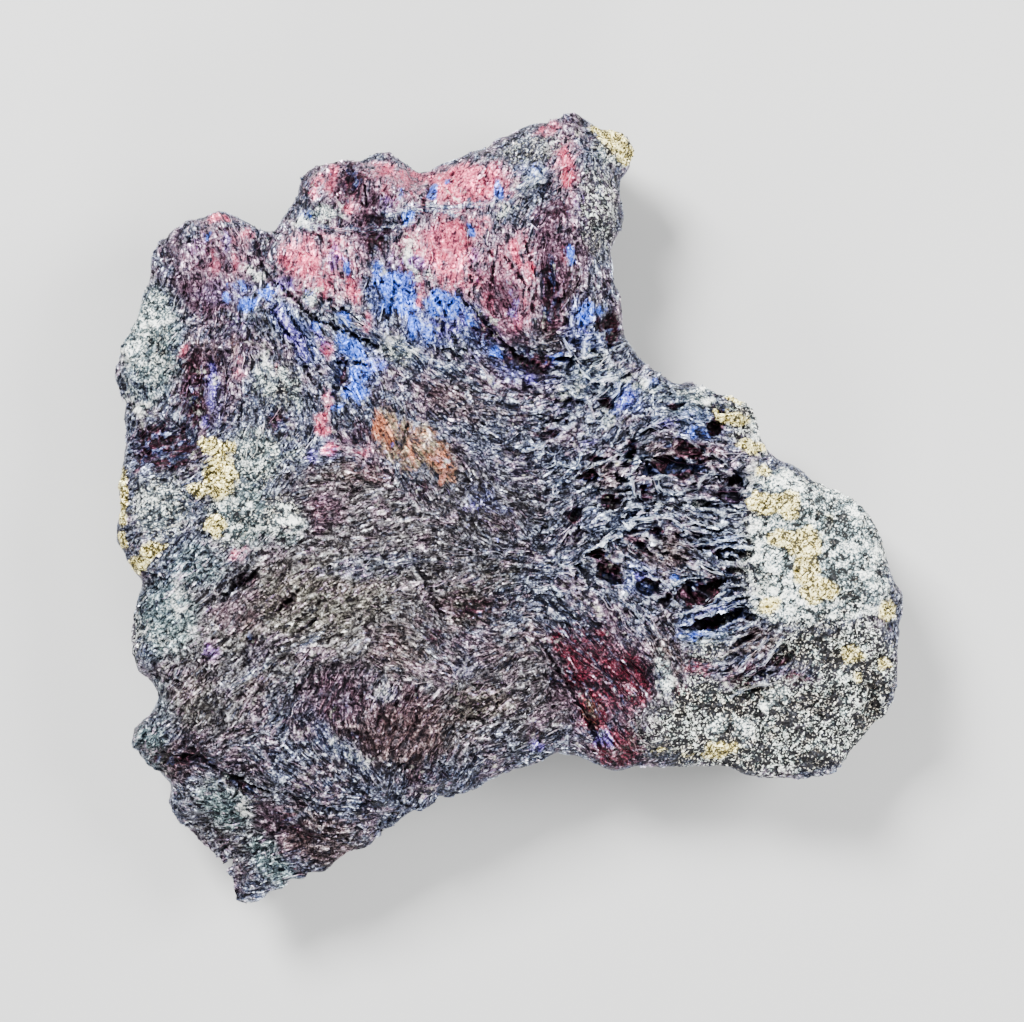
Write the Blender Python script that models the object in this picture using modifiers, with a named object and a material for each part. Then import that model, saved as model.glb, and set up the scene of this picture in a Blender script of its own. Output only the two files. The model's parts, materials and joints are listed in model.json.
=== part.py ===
# Covellite hand specimen: one broken slab of foliated covellite with grains of pyrite in it.
# It lies on its back with the bright face up. +X is to the right of that face, +Y up it.
# Lengths below are in millimetres, and MM turns them into metres.

import math

import bmesh
import bpy
import numpy as np
from mathutils import Vector, noise

MM = 0.001

# Driving dimensions
BODY_THICKNESS = 11.5
VOXEL = 0.72
TRIANGLES = 9350
BACK_CUT = 0.35
NET_REACH = 52.0
NET_TURN = 0.6
NET_DISORDER = 0.6
SEED = 7.3

# Rim: how far the face drops and the back rises where the slab was broken
FACE_DROP = 1.7
FACE_DROP_REACH = 2.4
BACK_RISE = 4.6
BACK_RISE_REACH = 7.5
BACK_RISE_POWER = 1.4
RIM_UNEVENNESS = 0.8
RIM_WAVE = 8.0
EDGE_ROUGHNESS = 0.38
EDGE_ROUGH_REACH = 2.0
EDGE_GRAIN = 1.7

# The broken outline, clockwise from the left shoulder
OUTLINE = [
    (-34.6, 4.3), (-34.5, 7.0), (-34.8, 9.5), (-35.3, 11.8), (-35.0, 14.4), (-34.2, 15.9),
    (-33.4, 17.0), (-33.0, 19.2), (-32.2, 20.4), (-32.4, 22.6), (-31.2, 24.4), (-29.6, 25.3),
    (-28.8, 25.9), (-27.0, 26.4), (-26.2, 26.8), (-25.0, 26.1), (-22.4, 25.1), (-21.9, 24.5),
    (-21.0, 24.9), (-20.3, 25.4), (-19.6, 26.8), (-18.7, 27.2), (-18.9, 28.4), (-18.4, 29.8),
    (-17.6, 30.5), (-16.0, 30.9), (-14.0, 31.1), (-11.2, 31.8), (-10.0, 31.3), (-9.0, 30.7),
    (-8.1, 30.1), (-7.1, 30.4), (-6.2, 31.0), (-4.6, 31.3), (-3.8, 32.0), (-2.6, 32.1),
    (-1.2, 32.7), (0.2, 33.6), (2.4, 34.4), (4.9, 34.9), (5.7, 35.9), (6.6, 35.0),
    (7.8, 34.2), (10.1, 33.6), (11.3, 32.0), (11.1, 31.1), (10.3, 30.3), (10.0, 28.8),
    (10.2, 26.8), (9.9, 24.6), (9.1, 23.5), (9.1, 21.8), (9.7, 19.4), (10.1, 17.0),
    (10.4, 15.2), (11.2, 13.8), (12.6, 12.6), (14.2, 11.5), (15.3, 11.0), (16.6, 11.5),
    (17.2, 11.1), (20.4, 10.2), (21.5, 9.4), (22.1, 7.8), (22.7, 6.3), (23.5, 4.8),
    (25.3, 3.9), (27.2, 2.5), (30.2, 1.1), (31.9, -0.3), (33.0, -2.2), (34.4, -6.0),
    (35.3, -8.4), (35.0, -10.4), (34.8, -15.0), (34.6, -17.1), (33.6, -18.7), (32.2, -20.2),
    (30.9, -21.6), (30.0, -23.2), (28.6, -23.9), (25.2, -24.3), (22.0, -24.1), (20.4, -23.5),
    (17.5, -23.1), (14.5, -23.3), (11.5, -23.1), (10.4, -23.5), (8.7, -23.4), (7.8, -22.8),
    (5.8, -22.1), (4.4, -21.8), (2.6, -22.8), (-1.7, -24.3), (-2.6, -25.0), (-4.4, -25.6),
    (-7.0, -26.5), (-9.4, -27.5), (-11.0, -29.2), (-12.6, -30.5), (-15.2, -31.4), (-16.5, -32.6),
    (-18.2, -33.2), (-19.6, -34.1), (-21.2, -34.4), (-22.4, -35.3), (-24.5, -35.9), (-25.2, -33.6),
    (-26.6, -31.6), (-28.6, -29.4), (-30.6, -27.4), (-30.3, -25.4), (-30.8, -24.3), (-32.5, -23.3),
    (-33.2, -22.4), (-33.9, -20.3), (-32.9, -19.2), (-31.9, -18.4), (-31.3, -16.6), (-33.1, -14.5),
    (-33.9, -12.2), (-33.6, -9.6), (-33.1, -7.8), (-32.6, -6.6), (-34.7, -4.2), (-35.3, -2.6),
    (-34.9, -0.6), (-35.0, 2.0),
]

# Broad shape of the face: centre x, y, half length, half width, turn in degrees, height
FACE_SWELLS = [
    (-9.0, 25.0, 14.0, 7.5, 5, 1.7),      # cleavage plateau along the top
    (5.0, 24.0, 5.5, 11.0, 0, 1.0),       # column right of it
    (-14.0, -13.0, 15.0, 10.0, 15, 2.3),  # fibrous dome, lower left
    (-2.0, 3.0, 10.0, 5.0, -35, 0.7),     # ridge across the middle
    (28.0, -4.0, 7.0, 9.0, 15, 1.4),      # pale boss of quartz and pyrite
    (20.0, 7.5, 4.0, 3.5, -15, 1.0),      # block of pyrite at the notch
    (9.0, -14.0, 6.0, 8.0, 40, -1.1),     # hollow with the red folia
    (18.0, -8.5, 6.0, 3.5, 15, -0.9),     # pocketed ground right of centre
    (-24.5, -30.5, 8.0, 6.0, -35, -2.8),  # the lower tip thins out
    (-31.5, 12.0, 4.5, 10.0, 5, -1.2),    # left shoulder falls away
    (-27.0, 3.0, 4.5, 5.0, 0, 0.8),       # knob of pyrite at the left
    (27.0, -21.0, 10.0, 4.0, 5, -1.6),    # granular foot at lower right
    (0.5, 13.0, 7.0, 2.5, -15, -1.0),     # trough under the plateau
    (-22.5, 22.0, 2.2, 4.5, -15, -1.2),   # saddle between the two upper lobes
]

# Pits between the folia: centre x, y, half length, half width, turn in degrees, depth
PITS = [
    (17.2, -7.3, 2.7, 1.5, 25, 1.7), (18.6, -10.1, 3.6, 0.9, 14, 1.4), (14.2, 3.9, 2.1, 1.0, -5, 1.2),
    (16.8, 5.4, 2.6, 0.8, -22, 0.8), (20.2, 2.0, 2.2, 1.0, 12, 1.2), (8.9, 1.0, 1.7, 1.0, 10, 1.1),
    (9.6, -5.5, 1.7, 1.2, -20, 1.1), (13.0, -7.0, 2.0, 1.1, -30, 0.9), (20.6, -3.8, 2.4, 0.9, 5, 1.0),
    (24.6, -13.3, 2.0, 1.3, 30, 1.5), (21.6, -16.6, 2.2, 1.5, 25, 1.3), (32.6, -17.0, 0.9, 2.6, 8, 1.1),
    (18.3, 7.7, 1.5, 0.8, 0, 1.0), (19.5, 9.2, 2.0, 0.5, -5, 0.9), (20.7, 6.7, 1.3, 0.5, -5, 0.8),
    (9.2, 16.4, 1.0, 1.7, 0, 1.3), (-20.6, 9.0, 1.6, 1.6, 0, 0.9), (-14.9, 12.7, 0.9, 1.9, 10, 1.1),
    (-23.2, -2.8, 2.4, 1.1, -40, 1.0), (-24.3, -7.6, 3.0, 0.8, 25, 1.1), (-20.2, -8.6, 1.6, 0.7, 45, 0.9),
    (-17.4, -16.6, 2.2, 1.5, -10, 0.9), (-5.4, -9.8, 3.4, 1.5, -48, 1.2), (4.6, -16.4, 2.6, 0.9, -55, 1.2),
    (-30.6, 5.2, 3.0, 1.8, 30, 0.9), (-12.0, 23.6, 1.4, 2.2, 10, 0.7), (3.4, 20.0, 1.0, 3.4, 5, 0.6),
    (-28.6, 9.6, 0.9, 3.4, 5, 0.7), (29.6, -12.6, 0.9, 1.4, 0, 0.7), (6.0, -0.4, 1.2, 0.9, 0, 0.8),
]

# Ledges, cracks and seams of the face. A path, its height, half width, and a reach:
# with a reach of 0 the height is a ridge or groove, otherwise the ground right of the path stays lower that far
CREASES = [
    ([(-20.5, 20.5), (-16.5, 17.0), (-11.5, 14.6)], -1.5, 0.55, 0),
    ([(-12.0, 15.0), (-6.5, 14.0), (-3.0, 16.2), (1.5, 14.2), (5.0, 13.6)], -1.0, 0.6, 5.0),
    ([(-11.5, 26.6), (-2.8, 27.0), (1.4, 29.0), (3.5, 30.6)], 0.6, 0.7, 0),
    ([(5.0, 3.2), (9.5, 5.0), (13.5, 7.4), (17.5, 5.2), (22.5, 2.6)], 0.6, 0.5, 0),
    ([(6.8, -3.8), (10.6, -1.6), (14.0, -1.4), (18.0, -5.4), (22.0, -7.0)], 0.7, 0.5, 0),
    ([(13.5, -9.6), (17.0, -9.2), (20.5, -8.0), (22.6, -8.2)], 0.8, 0.5, 0),
    ([(3.0, -12.4), (5.0, -16.5), (7.4, -20.0)], -0.8, 0.5, 0),
    ([(-31.0, -21.8), (-26.0, -22.6), (-20.0, -25.2), (-15.0, -26.2)], -1.1, 0.7, 4.5),
    ([(-28.0, -10.6), (-24.0, -6.2), (-20.5, -4.6)], -0.7, 0.6, 0),
    ([(-24.5, -14.6), (-20.0, -12.2), (-17.0, -9.6)], -0.6, 0.5, 0),
    ([(-8.5, -4.0), (-6.5, -8.5), (-3.5, -11.2), (1.5, -9.0)], -0.8, 0.7, 0),
    ([(-13.2, 9.6), (-9.0, 8.6), (-5.0, 6.6), (-3.6, 3.4)], -0.6, 0.5, 2.5),
]

# Folia: where each bundle is, how far it reaches, the direction it runs in degrees, and its relief
FOLIA = [
    (-27.0, 22.0, 6.0, 100, 0.9), (-31.0, 12.0, 6.0, 65, 0.6), (-26.0, 11.0, 5.0, 86, 0.9),
    (-18.5, 13.5, 5.0, 124, 0.9), (-16.0, 28.0, 5.0, 78, 0.8), (-6.0, 26.0, 7.0, 84, 0.45),
    (0.5, 20.0, 5.0, 98, 0.6), (7.0, 27.0, 6.0, 110, 0.9), (-8.0, 17.5, 4.0, 75, 0.7),
    (3.0, 11.0, 6.0, 4, 0.9), (0.0, 2.5, 7.0, 142, 0.8), (14.0, 6.0, 6.0, 14, 1.0),
    (16.0, -3.0, 5.0, -12, 1.1), (19.0, -9.5, 5.0, 18, 1.1), (8.0, -13.5, 7.0, 131, 0.8),
    (-14.0, -5.0, 7.0, 18, 0.6), (-24.0, -11.0, 7.0, 42, 0.7), (-7.0, -9.5, 5.0, 128, 0.8),
    (-14.5, -22.0, 5.0, 128, 0.6), (-23.0, -24.0, 6.0, -18, 0.9), (-20.0, -31.0, 5.0, 12, 0.9),
    (-2.0, -18.0, 7.0, 30, 0.5), (27.0, -10.0, 9.0, 60, 0.5), (-29.0, -2.0, 6.0, 40, 0.6),
]
FOLD_LENGTH = 5.5
FOLD_WIDTH = 1.55
BUNDLE_EDGE = 3.0
FAINTEST = 0.002

# Lumps of pyrite standing in the face: centre x, y, radius, height
PYRITE_LUMPS = [
    (23.2, 0.6, 1.6, 0.6), (25.0, 0.2, 1.3, 0.7), (26.6, -3.6, 1.5, 0.7), (24.2, -2.4, 1.1, 0.5),
    (27.6, -7.2, 1.7, 0.7), (31.0, -2.6, 1.6, 0.6), (19.8, 8.4, 1.1, 0.7), (21.3, 5.7, 1.3, 0.7),
    (10.0, 32.6, 1.4, 0.9), (8.3, 33.5, 1.0, 0.6), (-26.4, 4.6, 1.4, 0.7), (-25.8, 1.8, 1.5, 0.7),
    (-26.4, -1.2, 1.0, 0.5), (-32.6, -4.6, 1.4, 0.6), (19.0, -21.4, 1.6, 0.5), (31.6, -13.2, 1.5, 0.5),
]

# Back: its level, its slow waves, and the high places that the slab rests on
BACK_LEVEL = 1.3
BACK_UNDULATION = 1.2
BACK_WAVE = 11.0
REST_SPOTS = [
    # centre x, y, half length, half width, depth
    (0.0, -4.0, 7.0, 6.0, 2.0),
    (-21.0, 12.0, 6.0, 5.0, 2.2),
    (-19.0, -20.0, 5.5, 5.0, 1.9),
    (20.0, -12.0, 6.5, 5.0, 1.9),
    (1.0, 21.0, 5.0, 6.0, 2.2),
]

# Scooped facets of the break: the size of one, its depth, and how steeply it leans
FACE_SCOOPS = (2.7, 0.3, 0.14)
BACK_SCOOPS = (7.5, 0.9, 0.25)


def clear_scene():
    for obj in list(bpy.data.objects):
        bpy.data.objects.remove(obj)


def new_collection(name):
    collection = bpy.data.collections.new(name)
    bpy.context.scene.collection.children.link(collection)
    return collection


def covellite_material():
    """Dark indigo grey with a submetallic shine."""
    material = bpy.data.materials.new("covellite")
    material.use_nodes = True
    shader = material.node_tree.nodes["Principled BSDF"]
    shader.inputs["Base Color"].default_value = (0.12, 0.12, 0.17, 1.0)
    shader.inputs["Roughness"].default_value = 0.42
    shader.inputs["Metallic"].default_value = 0.55
    return material


def outline_curve(collection):
    """The outline as a filled flat curve, extruded to both sides."""
    curve = bpy.data.curves.new("outline", "CURVE")
    curve.dimensions = "2D"
    curve.fill_mode = "BOTH"
    curve.extrude = BODY_THICKNESS / 2 * MM
    curve.resolution_u = 3
    spline = curve.splines.new("BEZIER")
    spline.bezier_points.add(len(OUTLINE) - 1)
    spline.use_cyclic_u = True
    for point, (x, y) in zip(spline.bezier_points, OUTLINE):
        point.co = (x * MM, y * MM, 0.0)
        point.handle_left_type = "AUTO"
        point.handle_right_type = "AUTO"
    obj = bpy.data.objects.new("outline", curve)
    collection.objects.link(obj)
    return obj


def evaluated_mesh(obj):
    graph = bpy.context.evaluated_depsgraph_get()
    return bpy.data.meshes.new_from_object(obj.evaluated_get(graph))


def weld(mesh):
    work = bmesh.new()
    work.from_mesh(mesh)
    bmesh.ops.remove_doubles(work, verts=work.verts, dist=0.01 * MM)
    work.to_mesh(mesh)
    work.free()


def swap_mesh(obj, mesh):
    """Gives obj this mesh in place of its own, and drops its modifiers."""
    old = obj.data
    obj.modifiers.clear()
    obj.data = mesh
    bpy.data.meshes.remove(old)


def make_blank(collection):
    """A flat slab of the outline's shape, in an even grid of small faces."""
    curve = outline_curve(collection)
    mesh = evaluated_mesh(curve)
    bpy.data.objects.remove(curve)
    weld(mesh)
    slab = bpy.data.objects.new("covellite", mesh)
    collection.objects.link(slab)
    remesh = slab.modifiers.new("even grid", "REMESH")
    remesh.mode = "VOXEL"
    remesh.voxel_size = VOXEL * MM
    swap_mesh(slab, evaluated_mesh(slab))
    return slab


def smooth_step(edge0, edge1, value):
    t = np.clip((value - edge0) / (edge1 - edge0), 0.0, 1.0)
    return t * t * (3.0 - 2.0 * t)


def swell(x, y, centre_x, centre_y, length, width, turn):
    """A soft round mound that is 1 at its centre."""
    c, s = math.cos(math.radians(turn)), math.sin(math.radians(turn))
    u = ((x - centre_x) * c + (y - centre_y) * s) / length
    v = ((y - centre_y) * c - (x - centre_x) * s) / width
    return np.exp(-(u * u + v * v))


def to_path(x, y, path, closed=False):
    """Distance to a path, and which side of it each point is on: 1 to the right, -1 to the left."""
    nearest = np.full(len(x), 1e9)
    side = np.ones(len(x))
    following = path[1:] + path[:1] if closed else path[1:]
    for (x0, y0), (x1, y1) in zip(path, following):
        dx, dy = x1 - x0, y1 - y0
        along = ((x - x0) * dx + (y - y0) * dy) / (dx * dx + dy * dy)
        along = np.clip(along, 0.0, 1.0)
        gap = np.hypot(x - x0 - along * dx, y - y0 - along * dy)
        closer = gap < nearest
        nearest = np.where(closer, gap, nearest)
        side = np.where(closer, np.sign((x - x0) * dy - (y - y0) * dx), side)
    return nearest, side


def crease(x, y, path, height, half_width, reach):
    """A ridge or groove along a path, or a ledge whose lower ground lies to the right of the path."""
    gap, side = to_path(x, y, path)
    if reach == 0:
        return height * np.exp(-((gap / half_width) ** 2))
    signed = gap * side
    return height * smooth_step(-half_width, half_width, signed) * np.exp(-np.abs(signed) / reach)


def ragged(x, y, z, size, layer):
    """Smooth noise from -1 to 1, with features of about this size."""
    points = zip(x / size, y / size, z / size)
    return np.array([noise.noise(Vector((a, b, c + layer * SEED))) for a, b, c in points])


def scoops(x, y, size, depth, lean, seed):
    """Scooped facets with sharp ridges between them, the way massive ore breaks."""
    random = np.random.default_rng(seed)
    count = int(2 * NET_REACH / size)
    line = np.linspace(-NET_REACH, NET_REACH, count)
    c, s = math.cos(NET_TURN), math.sin(NET_TURN)
    height = np.full(len(x), 1e9)
    for net_x in line:
        for net_y in line:
            move_x, move_y = random.uniform(-NET_DISORDER, NET_DISORDER, 2) * size
            lean_x, lean_y = random.uniform(-lean, lean, 2)
            off_x = x - (net_x * c - net_y * s) - move_x
            off_y = y - (net_x * s + net_y * c) - move_y
            bowl = depth * (off_x**2 + off_y**2) / (size / 2) ** 2
            height = np.minimum(height, bowl + lean_x * off_x + lean_y * off_y)
    return height - depth / 2


def fold_noise(u, v, layer):
    """Sharp crests along u: 1 on a crest and 0 in the valleys."""
    return 1.0 - abs(2.0 * noise.noise(Vector((u / FOLD_LENGTH, v / FOLD_WIDTH, layer * SEED))))


def folds(x, y):
    """The folia as crests that run the way of the nearest bundles."""
    total = np.zeros(len(x))
    weights = np.full(len(x), 1e-6)
    for layer, (centre_x, centre_y, reach, turn, relief) in enumerate(FOLIA):
        weight = np.exp(-BUNDLE_EDGE / 2 * ((x - centre_x) ** 2 + (y - centre_y) ** 2) / reach**2)
        c, s = math.cos(math.radians(turn)), math.sin(math.radians(turn))
        for i in np.nonzero(weight > FAINTEST)[0]:
            u = x[i] * c + y[i] * s
            v = y[i] * c - x[i] * s
            total[i] += weight[i] * relief * (fold_noise(u, v, layer) - 0.55)
            weights[i] += weight[i]
    return total / weights


def face_height(x, y):
    """Height of the bright face above the middle of the slab."""
    height = np.full(len(x), BODY_THICKNESS)
    for centre_x, centre_y, length, width, turn, rise in FACE_SWELLS:
        height += rise * swell(x, y, centre_x, centre_y, length, width, turn)
    for centre_x, centre_y, length, width, turn, depth in PITS:
        height -= depth * swell(x, y, centre_x, centre_y, length, width, turn)
    for path, rise, half_width, reach in CREASES:
        height += crease(x, y, path, rise, half_width, reach)
    for centre_x, centre_y, radius, rise in PYRITE_LUMPS:
        height += rise * swell(x, y, centre_x, centre_y, radius, radius, 0) ** 2
    height += folds(x, y)
    return height + scoops(x, y, *FACE_SCOOPS, seed=1)


def back_height(x, y):
    """Height of the broken back, before it is cut flat where the slab rests."""
    height = BACK_LEVEL + BACK_UNDULATION * ragged(x, y, 0 * x, BACK_WAVE, 2)
    height += scoops(x, y, *BACK_SCOOPS, seed=2) + scoops(x, y, *FACE_SCOOPS, seed=3)
    for centre_x, centre_y, length, width, depth in REST_SPOTS:
        height -= depth * swell(x, y, centre_x, centre_y, length, width, 0)
    return height


def shape_slab(slab):
    """Lifts the flat blank to the real face, back and broken rim."""
    mesh = slab.data
    flat = np.empty(len(mesh.vertices) * 3)
    mesh.vertices.foreach_get("co", flat)
    points = flat.reshape(-1, 3) / MM
    x, y = points[:, 0].copy(), points[:, 1].copy()
    level = np.clip(points[:, 2] / BODY_THICKNESS + 0.5, 0.0, 1.0)
    from_rim, _ = to_path(x, y, OUTLINE, closed=True)

    uneven = 1.0 + RIM_UNEVENNESS * ragged(x, y, 0 * x, RIM_WAVE, 5)
    drop = FACE_DROP * uneven * (1.0 - smooth_step(0.0, FACE_DROP_REACH, from_rim))
    rise = BACK_RISE * uneven * (1.0 - smooth_step(0.0, BACK_RISE_REACH, from_rim)) ** BACK_RISE_POWER
    low = back_height(x, y) + rise
    high = face_height(x, y) - drop
    z = low + level * (high - low)

    rough = EDGE_ROUGHNESS * np.exp(-from_rim / EDGE_ROUGH_REACH)
    points[:, 0] += rough * ragged(x, y, z, EDGE_GRAIN, 6)
    points[:, 1] += rough * ragged(x, y, z, EDGE_GRAIN, 7)
    points[:, 2] = z
    mesh.vertices.foreach_set("co", (points * MM).ravel())
    mesh.update()


def thin_out(slab):
    """Drops faces where the surface is nearly flat."""
    triangles = sum(len(face.vertices) - 2 for face in slab.data.polygons)
    decimate = slab.modifiers.new("thin out", "DECIMATE")
    decimate.ratio = TRIANGLES / triangles
    swap_mesh(slab, evaluated_mesh(slab))


def cut_flat(slab, cutters):
    """Cuts the high places of the back off level, so that the slab rests on flat spots."""
    bpy.ops.mesh.primitive_cube_add(size=100 * MM, location=(0, 0, (BACK_CUT - 50) * MM))
    cutter = bpy.context.active_object
    cutter.name = "table"
    for collection in list(cutter.users_collection):
        collection.objects.unlink(cutter)
    cutters.objects.link(cutter)
    cutter.hide_render = True
    cutter.display_type = "WIRE"
    boolean = slab.modifiers.new("flat spots", "BOOLEAN")
    boolean.operation = "DIFFERENCE"
    boolean.object = cutter
    swap_mesh(slab, evaluated_mesh(slab))


def stand_on_origin(slab):
    """Puts the middle of the base's outline at the origin."""
    corners = np.array([vertex.co for vertex in slab.data.vertices])
    low, high = corners.min(axis=0), corners.max(axis=0)
    shift = Vector((-(low[0] + high[0]) / 2, -(low[1] + high[1]) / 2, -low[2]))
    for vertex in slab.data.vertices:
        vertex.co += shift
    slab.data.update()


def main():
    clear_scene()
    specimen = new_collection("covellite specimen")
    cutters = new_collection("cutters")
    slab = make_blank(specimen)
    shape_slab(slab)
    thin_out(slab)
    cut_flat(slab, cutters)
    stand_on_origin(slab)
    slab.data.materials.clear()
    slab.data.materials.append(covellite_material())


main()
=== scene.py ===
import json
import math

import bmesh
import bpy
import numpy as np
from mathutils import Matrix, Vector
from mathutils.bvhtree import BVHTree

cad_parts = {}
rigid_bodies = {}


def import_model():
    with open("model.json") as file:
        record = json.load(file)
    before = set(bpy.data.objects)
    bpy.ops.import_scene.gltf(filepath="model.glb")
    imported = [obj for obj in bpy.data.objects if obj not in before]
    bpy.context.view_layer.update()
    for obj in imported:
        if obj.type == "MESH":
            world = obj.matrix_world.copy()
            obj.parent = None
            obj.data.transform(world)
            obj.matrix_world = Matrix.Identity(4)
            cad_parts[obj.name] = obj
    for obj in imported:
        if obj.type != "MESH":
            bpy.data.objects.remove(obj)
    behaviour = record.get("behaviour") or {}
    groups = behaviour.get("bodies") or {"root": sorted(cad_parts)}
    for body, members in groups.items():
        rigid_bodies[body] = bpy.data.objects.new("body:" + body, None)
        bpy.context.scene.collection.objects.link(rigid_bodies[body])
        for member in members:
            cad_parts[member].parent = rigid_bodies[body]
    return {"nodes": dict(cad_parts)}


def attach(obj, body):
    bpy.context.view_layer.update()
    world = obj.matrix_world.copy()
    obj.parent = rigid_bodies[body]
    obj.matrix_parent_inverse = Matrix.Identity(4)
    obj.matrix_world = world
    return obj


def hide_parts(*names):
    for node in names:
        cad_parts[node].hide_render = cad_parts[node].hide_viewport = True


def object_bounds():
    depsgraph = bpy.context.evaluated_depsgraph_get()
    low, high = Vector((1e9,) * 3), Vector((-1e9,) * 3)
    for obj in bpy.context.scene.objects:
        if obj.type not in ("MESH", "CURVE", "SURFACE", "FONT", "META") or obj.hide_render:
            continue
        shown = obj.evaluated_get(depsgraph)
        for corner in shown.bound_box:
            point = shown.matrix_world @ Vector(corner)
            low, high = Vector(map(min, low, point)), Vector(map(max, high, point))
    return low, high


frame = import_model()
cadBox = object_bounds()
mm = 0.001
print("frame loaded:", ", ".join(frame["nodes"]))


def paint(red, green, blue):  # a linear colour, from red, green and blue of 0 to 255
    def linear(value):
        value = value / 255
        return value / 12.92 if value <= 0.04045 else ((value + 0.055) / 1.055) ** 2.4
    return (linear(red), linear(green), linear(blue), 1.0)


# Noise and small fields, all on arrays in millimetres

def hashed(ix, iy, iz, seed):
    h = (ix * 374761393 + iy * 668265263 + iz * 1442695041 + seed * 1274126177) & 0xFFFFFFFF
    h = ((h ^ (h >> 13)) * 1274126177) & 0xFFFFFFFF
    return h ^ (h >> 16)


def noiseAt(x, y, z, seed):  # smooth noise, about -1 to 1, one feature to a unit
    x, y, z = np.broadcast_arrays(x, y, z)
    corner = [np.floor(v).astype(np.int64) for v in (x, y, z)]
    part = [v - c for v, c in zip((x, y, z), corner)]
    soft = [p * p * p * (p * (p * 6 - 15) + 10) for p in part]
    total = np.zeros(x.shape)
    for step in np.ndindex(2, 2, 2):
        h = hashed(*(c + d for c, d in zip(corner, step)), seed)
        slope = [((h >> shift) & 255) / 127.5 - 1 for shift in (0, 8, 16)]
        weight = np.ones(x.shape)
        for s, d in zip(soft, step):
            weight = weight * (s if d else 1 - s)
        total += weight * sum(g * (p - d) for g, p, d in zip(slope, part, step))
    return total * 1.35


def wander(x, y, z, reach, size, seed):  # the same places, shifted a little by noise
    return [v + reach * noiseAt(x / size, y / size, z / size, seed + n) for n, v in enumerate((x, y))]


def cellsAt(x, y, size, seed):  # ragged cells: centre, how near the border, and a random number
    cx, cy = np.floor(x / size).astype(np.int64), np.floor(y / size).astype(np.int64)
    best, second = np.full(x.shape, 1e9), np.full(x.shape, 1e9)
    midX, midY, number = np.zeros(x.shape), np.zeros(x.shape), np.zeros(x.shape)
    for dx in (-1, 0, 1):
        for dy in (-1, 0, 1):
            h = hashed(cx + dx, cy + dy, 0 * cx, seed)
            px = (cx + dx + (h & 1023) / 1023) * size
            py = (cy + dy + ((h >> 10) & 1023) / 1023) * size
            gap = np.hypot(x - px, y - py)
            closer = gap < best
            second = np.where(closer, best, np.minimum(second, gap))
            midX, midY = np.where(closer, px, midX), np.where(closer, py, midY)
            number = np.where(closer, ((h >> 20) & 1023) / 1023, number)
            best = np.where(closer, gap, best)
    return midX, midY, (second - best) / size, number


def ease(low, high, value):
    t = np.clip((value - low) / (high - low), 0, 1)
    return t * t * (3 - 2 * t)


fade = (0.45, 1.45)  # where a soft ellipse starts to fade and where it ends, as shares of its size


def patches(x, y, items):  # soft ellipses: x, y, half length, half width, turn in degrees if any, strength
    field = np.zeros(x.shape)
    for px, py, length, width, *turn, strength in items:
        angle = math.radians(sum(turn))
        c, s = math.cos(angle), math.sin(angle)
        u, v = ((x - px) * c + (y - py) * s) / length, ((y - py) * c - (x - px) * s) / width
        field = np.maximum(field, strength * (1 - ease(*fade, np.hypot(u, v))))
    return field


def lines(x, y, items):  # soft lines: a half width, a strength and the points
    field = np.zeros(x.shape)
    for width, strength, points in items:
        gap = np.full(x.shape, 1e9)
        for (x0, y0), (x1, y1) in zip(points, points[1:]):
            dx, dy = x1 - x0, y1 - y0
            t = np.clip(((x - x0) * dx + (y - y0) * dy) / (dx * dx + dy * dy), 0, 1)
            gap = np.minimum(gap, np.hypot(x - x0 - t * dx, y - y0 - t * dy))
        field = np.maximum(field, strength * np.exp(-((gap / width) ** 2)))
    return field


# Which way the folia run: x, y, reach, and direction in degrees

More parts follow.
